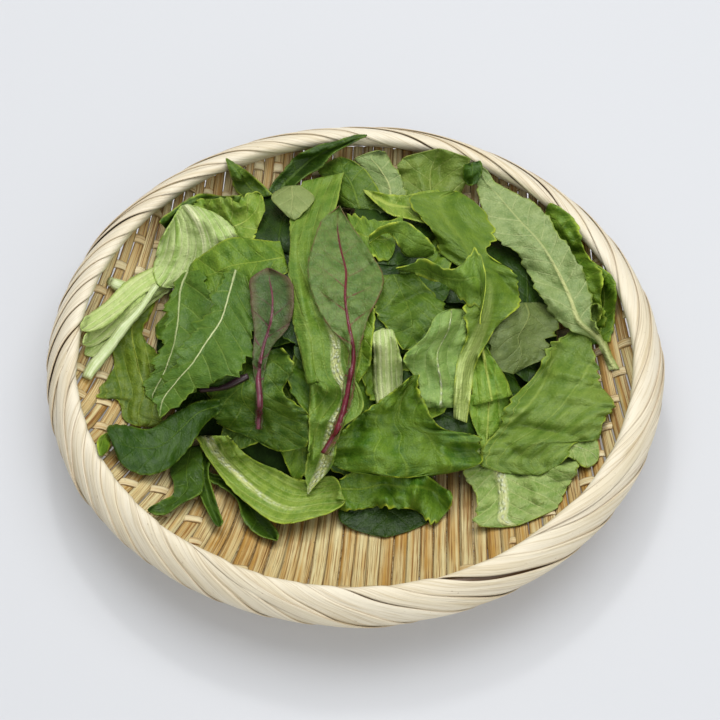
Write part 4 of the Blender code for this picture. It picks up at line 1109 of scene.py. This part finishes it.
def make_tube(name, x, y, z, radius, flat, finish, tone):
    """A round stem: a ring of points, flattened a little, at each step along a path, with flat ends."""
    path = np.stack([x, y, z], axis=1)
    ahead = np.gradient(path, axis=0)
    ahead /= np.linalg.norm(ahead, axis=1)[:, None]
    across = np.cross(ahead, [0, 0, 1.0])
    across /= np.linalg.norm(across, axis=1)[:, None]
    above = np.cross(across, ahead)
    turn = np.linspace(0, 2 * np.pi, STEM_SIDES, endpoint=False)
    swell = 1 + 0.06 * np.cos(5 * turn)
    ring = across[:, None] * (np.cos(turn) * swell)[None, :, None]
    ring = ring + above[:, None] * (np.sin(turn) * swell * flat)[None, :, None]
    points = path[:, None] + ring * radius[:, None, None]
    first, last = (end.repeat(STEM_SIDES, 1) for end in (path[:1, None], path[-1:, None]))
    points = np.concatenate([first, points, last])
    steps = steps_along(path)
    steps = np.concatenate([steps[:1], steps, steps[-1:]]) / MM
    values = {
        "along": np.broadcast_to(steps[:, None], points.shape[:2]),
        "across": np.broadcast_to((turn * radius.mean() / MM)[None, :], points.shape[:2]),
        "tone": np.full(points.shape[:2], tone),
    }
    faces = grid_faces(*points.shape[:2], round_columns=True)
    new_piece(name, points, faces, finish, values, **HEAP_PIECE)


def make_leaf(leaf, spot, heights, finishes, seed):
    """One leaf of the heap, and the round stem of a leaf that has one."""
    x, y, z, values = lay_down(leaf, spot, heights, seed)
    tone = float(values["tone"].flat[0])
    finish = finishes[leaf.paint]
    centre = x.shape[1] // 2
    half = np.hypot(x[:, -1] - x[:, 0], y[:, -1] - y[:, 0]) / 2
    line = x[:, centre], y[:, centre]
    if leaf.flat:
        radius = np.maximum(half, 0.6 * MM)
        level = np.maximum(running_mean(z[:, centre], 25), z[:, centre] - 1.2 * MM) + radius * leaf.flat
        make_tube(leaf.name, *line, level, radius, leaf.flat, finish, tone)
        height = np.broadcast_to((z[:, centre] + 2 * radius * leaf.flat)[:, None], x.shape)
        heights.stamp(x, y, height)
        return
    points = np.stack([x, y, z], axis=-1)
    new_piece(leaf.name, points, grid_faces(*x.shape), finish, values, **HEAP_PIECE, thickness=BLADE)
    heights.stamp(finer(x, 2), finer(y, 2), finer(z, 2) + BLADE / 2)
    if leaf.paint in CHARD_STEMS:
        s = np.linspace(0, 1, len(half))
        vein = (0.95 - 0.7 * s) * MM
        radius = np.where(half < 2.2 * MM, np.minimum(half * 1.05, 1.1 * MM), vein)
        radius = np.maximum(running_mean(radius, 9), vein) * np.clip((1 - s) / 0.12, 0.1, 1)
        red = finishes[CHARD_STEMS[leaf.paint]]
        make_tube(leaf.name + "_stem", *line, z[:, centre] + radius * 0.2, radius, 0.85, red, tone)


def make_fillers(heights, finishes):
    """Rings of leaves on the mound, pointing outwards and down, which show between the ones on top."""
    rng = np.random.default_rng(FILL_SEED)
    number = 0
    for reach, count, length, width in FILL_RINGS:
        for k in range(count):
            turn = 2 * np.pi * (k + rng.uniform(-0.3, 0.3)) / count + reach * 9
            lean = turn + rng.uniform(-0.7, 0.7)
            size = rng.uniform(0.8, 1.1)
            spot_x = MOUND_CENTRE[0] + MOUND_HALF_SIZE[0] * reach * math.cos(turn)
            spot_y = MOUND_CENTRE[1] + MOUND_HALF_SIZE[1] * reach * math.sin(turn)
            s = np.linspace(0, 1, 6)
            shift = (s - 0.85) * length * size * MM
            bow = 0.1 * length * MM * rng.uniform(-1, 1) * (s * (1 - s)) * 4
            mid_x = spot_x + shift * math.cos(lean) - bow * math.sin(lean)
            mid_y = spot_y + shift * math.sin(lean) + bow * math.cos(lean)
            half = width * size / 2 * MM * (0.12 + 0.88 * np.sin(np.pi * np.clip(s, 0.02, 0.97)) ** 0.7)
            side = np.stack([-half * math.sin(lean), half * math.cos(lean)], axis=1)
            middle = np.stack([mid_x, mid_y], axis=1)
            outline = np.concatenate([middle + side, middle - side], axis=1) / MM
            leaf = Leaf(
                f"hidden_leaf_{number}",
                FILL_PAINTS[rng.integers(len(FILL_PAINTS))],
                outline.tolist(),
                lift=(0, rng.uniform(0, 3), rng.uniform(-1, 2)),
                cup=rng.uniform(-2, 2),
                ruffle=(rng.uniform(0.5, 2.5), rng.uniform(1, 3)),
                rib=(0.6, 0.3, -0.3),
            )
            make_leaf(leaf, in_plan, heights, finishes, HIDDEN_LEAF_SEED + number)
            number += 1


def make_mound(finish):
    """The dark middle of the heap: its lumpy top, closed down to just above the mat."""
    reach = np.concatenate([np.linspace(0, 1, MOUND_TOP_RINGS), np.linspace(0.98, 0, MOUND_LOW_RINGS)])
    reach = reach[:, None]
    turn = np.linspace(0, 2 * np.pi, MOUND_SIDES, endpoint=False)[None, :]
    x = MOUND_CENTRE[0] + MOUND_HALF_SIZE[0] * reach * MOUND_SHARE * np.cos(turn)
    y = MOUND_CENTRE[1] + MOUND_HALF_SIZE[1] * reach * MOUND_SHARE * np.sin(turn)
    top, low = mound_height(x, y), mat_height(np.hypot(x, y)) + TRAY_GAP
    z = np.where(np.arange(len(reach))[:, None] < MOUND_TOP_RINGS, np.maximum(top, low), low)
    values = {"along": x / MM, "across": y / MM, "tone": np.zeros(x.shape)}
    faces = grid_faces(*x.shape, round_columns=True)
    new_piece("heap_middle", np.stack([x, y, z], axis=-1), faces, finish, values, **HEAP_PIECE)


def mound_paint():
    """Shaded leaves deep in the heap: very dark green with lighter creases."""
    paint = Paint("heap_shade", 0.95)
    paint.shader.inputs["Specular IOR Level"].default_value = 0.1
    along, across = paint.value("along"), paint.value("across")
    folds = paint.noise(paint.vector(along * 0.12, across * 0.12, 0.0), 4.0)
    tint = paint.mix(folds.rises(0.4, 0.75), colour("#1B2A10"), colour("#35501C"))
    return paint.finish(tint, folds, 2 * MM)


def splint_path(start, y):
    """Where a long splint runs across the tray: they fan out to the front and bend at the front left."""
    u = start / (100 * MM)
    x = start + (0.067 - 0.10 * u - 0.08 * u**3) * y
    bend = 8 * MM * np.clip(-x / (70 * MM), 0, 2) ** 2 * np.clip(-y / (65 * MM), 0, 2) ** 2
    return x - bend


def cross_over(splint, cross, x, y):
    """Whether a cross strip runs over a long splint here: only near the sides, the back and the rim."""
    shown = (np.abs(x) > SHOWN_FROM_SIDE) | (y > SHOWN_FROM_BACK) | (np.hypot(x, y) > SHOWN_FROM_RIM)
    return ((splint + cross) % 2 == 0) & shown


def tucked_in(radius):
    """How far the mat's ends rise into the rim: as the square of the way from near the rim."""
    return MAT_TUCK_RISE * np.clip((radius - MAT_TUCK_START) / MAT_TUCK_LENGTH, 0, 1) ** 2


def on_mat(x, y, lift):
    """A path over the mat at these places, this much above the middle of its weave."""
    radius = np.hypot(x, y)
    z = mat_height(radius) - MAT_THICKNESS + WEAVE_LEVEL + tucked_in(radius) + lift
    return np.stack([x, y, z], axis=1)


def flat_on_mat(x, y, axis):
    """The direction across a strip at each place: level along this axis, but following the mat's slope."""
    radius = np.maximum(np.hypot(x, y), 1e-6)
    steep = (mat_height(radius + MM) - mat_height(radius - MM)) / (2 * MM)
    direction = np.zeros((len(x), 3))
    direction[:, axis] = 1
    direction[:, 2] = steep * (x, y)[axis] / radius
    return direction


def near_cross(y):
    """How close a place is to the nearest cross strip, from 0 to 1, and that strip's number."""
    number = np.rint(y / CROSS_PITCH)
    away = np.abs(y - number * CROSS_PITCH)
    return np.clip(1 - away / (0.42 * CROSS_PITCH), 0, 1) ** 0.7, number.astype(int)


def ribbons(name, paths, finish, thickness):
    """Flat strips in one mesh: each is a path with a half width and a sideways direction.

    Across its width a strip is a flat arch, as one less the square of the share of the half width.
    """
    t = np.linspace(-1, 1, STRIP_COLUMNS)[None, :]
    strips = []
    for path, axis, half, tone in paths:
        sideways = flat_on_mat(path[:, 0], path[:, 1], axis)
        half = half[:, None]
        points = path[:, None] + sideways[:, None] * (half * t)[..., None]
        points[..., 2] += STRIP_CROWN * (1 - t**2)
        values = {
            "along": steps_along(path)[:, None] / MM,
            "across": half * t / MM,
            "edge": half * (1 - np.abs(t)) / MM,
            "tone": tone,
        }
        strips.append((points, values))
    points, faces, values = joined(strips)
    new_piece(name, points, faces, finish, values, **MAT_PIECE, thickness=thickness)


def make_mat(finish, cross_finish):
    """The woven mat: long splints side by side, and cross strips that pass over and under them.

    In the middle wider strips fill the space between the cross strips, under the splints.
    """
    rng = np.random.default_rng(MAT_SEED)
    paths = []
    for i in range(-SPLINTS_EACH_SIDE, SPLINTS_EACH_SIDE + 1):
        start = (i + 0.5) * SPLINT_PITCH
        y = np.linspace(-WEAVE_REACH, WEAVE_REACH, 170)
        x = splint_path(start, y)
        pitch = splint_path(start + SPLINT_PITCH / 2, y) - splint_path(start - SPLINT_PITCH / 2, y)
        x = x + 0.2 * MM * np.sin(y / (17 * MM) + rng.uniform(0, 6)) * rng.uniform(0, 1)
        inside = np.hypot(x, y) < WEAVE_REACH
        if inside.sum() < 6:
            continue
        x, y, pitch = x[inside], y[inside], pitch[inside]
        near, number = near_cross(y)
        bend = np.where(cross_over(i, number, x, y), -SPLINT_DIP, SPLINT_CREST) * near
        loose = 0.965 - 0.07 * np.clip((np.abs(x) - 70 * MM) / (25 * MM), 0, 1)
        half = pitch / 2 * loose * rng.uniform(0.95, 1.05)
        paths.append((on_mat(x, y, bend), 0, half, rng.uniform()))
    ribbons("long_splints", paths, finish, SPLINT_THICKNESS)

    paths = []
    count = int(WEAVE_REACH // CROSS_PITCH)
    starts = (np.arange(-SPLINTS_EACH_SIDE, SPLINTS_EACH_SIDE + 1) + 0.5) * SPLINT_PITCH
    for j in range(-count, count + 1):
        y0 = j * CROSS_PITCH + (4 * MM if j == -count else 0)
        far = math.sqrt(max(WEAVE_REACH**2 - y0**2, 0)) - 1 * MM
        if far < 15 * MM:
            continue
        x = np.linspace(-far, far, 200)
        y = y0 + 0.4 * MM * np.sin(x / (31 * MM) + j)
        centres = splint_path(starts, np.full(len(starts), y0))
        nearest = np.abs(x[:, None] - centres[None, :]).argmin(axis=1)
        over = cross_over(nearest - SPLINTS_EACH_SIDE, j, x, y)
        bend = np.pad(np.where(over, CROSS_SWING, -CROSS_SWING), 1, mode="edge")
        bend = np.convolve(bend, [0.25, 0.5, 0.25], mode="valid")
        half = np.full(len(x), CROSS_WIDTH / 2 * rng.uniform(0.9, 1.05))
        paths.append((on_mat(x, y, bend), 1, half, rng.uniform()))
    for j in range(-count, count):
        y0 = (j + 0.5) * CROSS_PITCH
        far = min(BACKING_REACH, math.sqrt(max(SHOWN_FROM_RIM**2 - y0**2, 0)))
        if y0 > BACKING_END or far < 8 * MM:
            continue
        x = np.linspace(-far, far, 60)
        half = np.full(len(x), (CROSS_PITCH - CROSS_WIDTH) / 2 - BACKING_GAP)
        paths.append((on_mat(x, np.full(len(x), y0), -BACKING_DEPTH), 1, half, rng.uniform()))
    ribbons("cross_strips", paths, cross_finish, CROSS_THICKNESS)


def make_rim(finish, shade):
    """The wound rim: wide strips that wind round a hoop of flattened section.

    Going round the tray by an angle, each strip turns back round the section by a whole number of times
    that angle, with more turns at the left than at the right. Each strip is a little rounded, its near
    edge is tucked under the strip before and its far edge lies over the next one, and where a strip is
    narrow a dark slit opens beside it. A narrower strip lies over the others at another slant. The grain
    runs to and from the tray's left side, so that it has no seam.
    """
    rng = np.random.default_rng(RIM_SEED)
    theta = np.linspace(0, 2 * np.pi, RIM_STEPS, endpoint=False)
    t = np.linspace(-1, 1, RIM_COLUMNS)[None, :]
    strips = []
    for k in range(RIM_STRIPS + RIM_TOP_STRIPS):
        over = k >= RIM_STRIPS
        phase = rng.uniform(0, 2 * np.pi, 6)
        wander = 0.10 * np.sin(3 * theta + phase[0]) + 0.06 * np.sin(7 * theta + phase[1])
        turns, tighter = (RIM_TURNS - 3, RIM_TIGHTER - 1.6) if over else (RIM_TURNS, RIM_TIGHTER)
        middle = 2 * np.pi * k / RIM_STRIPS - turns * theta + tighter * np.sin(theta) + wander
        swell = 1.1 + 0.15 * np.sin(3 * theta + phase[2]) + 0.07 * np.sin(8 * theta + phase[3])
        half = (math.pi / RIM_STRIPS * swell * (0.6 if over else 1))[:, None]
        angle = middle[:, None] + half * t
        angle = angle + 0.17 * np.sin(2 * angle)
        out = RIM_OVERLAP * (0.8 * t - 0.9 + 0.15 * np.sin(5 * theta + phase[4])[:, None])
        out = out - 0.12 * MM * t**2 + (RIM_TOP_STRIP_LIFT if over else 0)
        radius, height = rim_section(angle, out)
        x = radius * np.cos(theta)[:, None]
        y = radius * np.sin(theta)[:, None]
        values = {
            "along": (np.abs(theta - math.pi) * RIM_RADIUS / MM)[:, None],
            "across": 6 * half * t,
            "edge": 6 * half * (1 - np.abs(t)),
            "tone": rng.uniform(),
        }
        strips.append((np.stack([x, y, height], axis=-1), values))
    points, faces, values = joined(strips, round_rows=True)
    new_piece("rim_strips", points, faces, finish, values, **RIM_PIECE, thickness=RIM_STRIP_THICKNESS)

    angle = np.linspace(0, 2 * np.pi, HOOP_SIDES, endpoint=False)
    radius, height = rim_section(angle, -HOOP_DEPTH)
    x = radius[None, :] * np.cos(theta[::HOOP_EVERY])[:, None]
    y = radius[None, :] * np.sin(theta[::HOOP_EVERY])[:, None]
    points = np.stack([x, y, np.broadcast_to(height[None, :], x.shape)], axis=-1)
    faces = grid_faces(*x.shape, round_rows=True, round_columns=True)[:, ::-1]
    values = {key: np.zeros(x.shape) for key in ("along", "across", "tone")}
    new_piece("rim_hoop", points, faces, shade, values, **RIM_PIECE)


def make_floor():
    """A plain pale floor that glows a little, as if lit from below, so that shadows on it stay light."""
    paint = Paint("floor", 0.6)
    paint.shader.inputs["Base Color"].default_value = FLOOR_COLOUR
    paint.shader.inputs["Emission Color"].default_value = FLOOR_GLOW_COLOUR
    paint.shader.inputs["Emission Strength"].default_value = FLOOR_GLOW
    paint.shader.inputs["Specular IOR Level"].default_value = 0.2
    mesh = bpy.data.meshes.new("floor")
    far = FLOOR_HALF_SIZE
    mesh.from_pydata([(-far, -far, 0), (far, -far, 0), (far, far, 0), (-far, far, 0)], [], [(0, 1, 2, 3)])
    mesh.materials.append(paint.material)
    floor = bpy.data.objects.new("floor", mesh)
    bpy.context.scene.collection.objects.link(floor)


def make_light(name, place, size, power):
    """A square soft light that faces the tray."""
    lamp = bpy.data.lights.new(name, "AREA")
    lamp.size = size
    lamp.energy = power
    holder = bpy.data.objects.new(name, lamp)
    bpy.context.scene.collection.objects.link(holder)
    aim = np.array(place) - np.array(LAMP_AIM)
    holder.location = place
    flat = math.hypot(aim[0], aim[1])
    holder.rotation_euler = (math.atan2(flat, aim[2]), 0, math.atan2(aim[1], aim[0]) + math.pi / 2)


def make_studio():
    """Soft light from above, with an even pale surround."""
    world = bpy.data.worlds.new("surround")
    world.use_nodes = True
    world.node_tree.nodes["Background"].inputs[0].default_value = SURROUND_COLOUR
    world.node_tree.nodes["Background"].inputs[1].default_value = SURROUND_GLOW
    bpy.context.scene.world = world
    for name, (place, size, power) in LAMPS.items():
        make_light(name, place, size, power)
    bpy.context.scene.view_settings.view_transform = "Standard"

    lens = bpy.data.cameras.new("viewer")
    lens.lens = LENS
    lens.sensor_width = 36
    viewer = bpy.data.objects.new("viewer", lens)
    bpy.context.scene.collection.objects.link(viewer)
    ahead = np.array([0, math.cos(SIGHT_SLOPE), -math.sin(SIGHT_SLOPE)])
    viewer.location = SIGHT_POINT - ahead * SIGHT_DISTANCE
    viewer.rotation_euler = (math.pi / 2 - SIGHT_SLOPE, 0, 0)
    bpy.context.scene.camera = viewer


def main():
    finishes = {name: leaf_paint("leaf_" + name, green) for name, green in GREENS.items()}
    finishes.update({name: stem_paint(name, *colours) for name, colours in STEMS.items()})
    splint = bamboo_paint("splint", "#DFD19C", "#B88C42", "#8C6026", "#5A3810", 2.0, 1.35)
    cross = bamboo_paint("cross_strip", "#E6D8AC", "#CFAC6E", "#AE8446", "#7A4E1C", 1.5, 1.0)
    peel = bamboo_paint("peeled_strip", "#E6DCC4", "#D8C8A2", "#B8A274", "#8C6C44", 1.0, 0.6, 0.45)
    # The hoop's dark brown is a painted shade for the slits between the rim strips.
    shade = stem_paint("hoop", "#5E4122", "#74532C", "#3A2814")
    make_mat(splint, cross)
    make_rim(peel, shade)
    make_mound(mound_paint())
    heights = Heights()
    make_fillers(heights, finishes)
    for number, leaf in enumerate(LEAVES):
        make_leaf(leaf, seen, heights, finishes, number)
    make_floor()
    make_studio()


main()
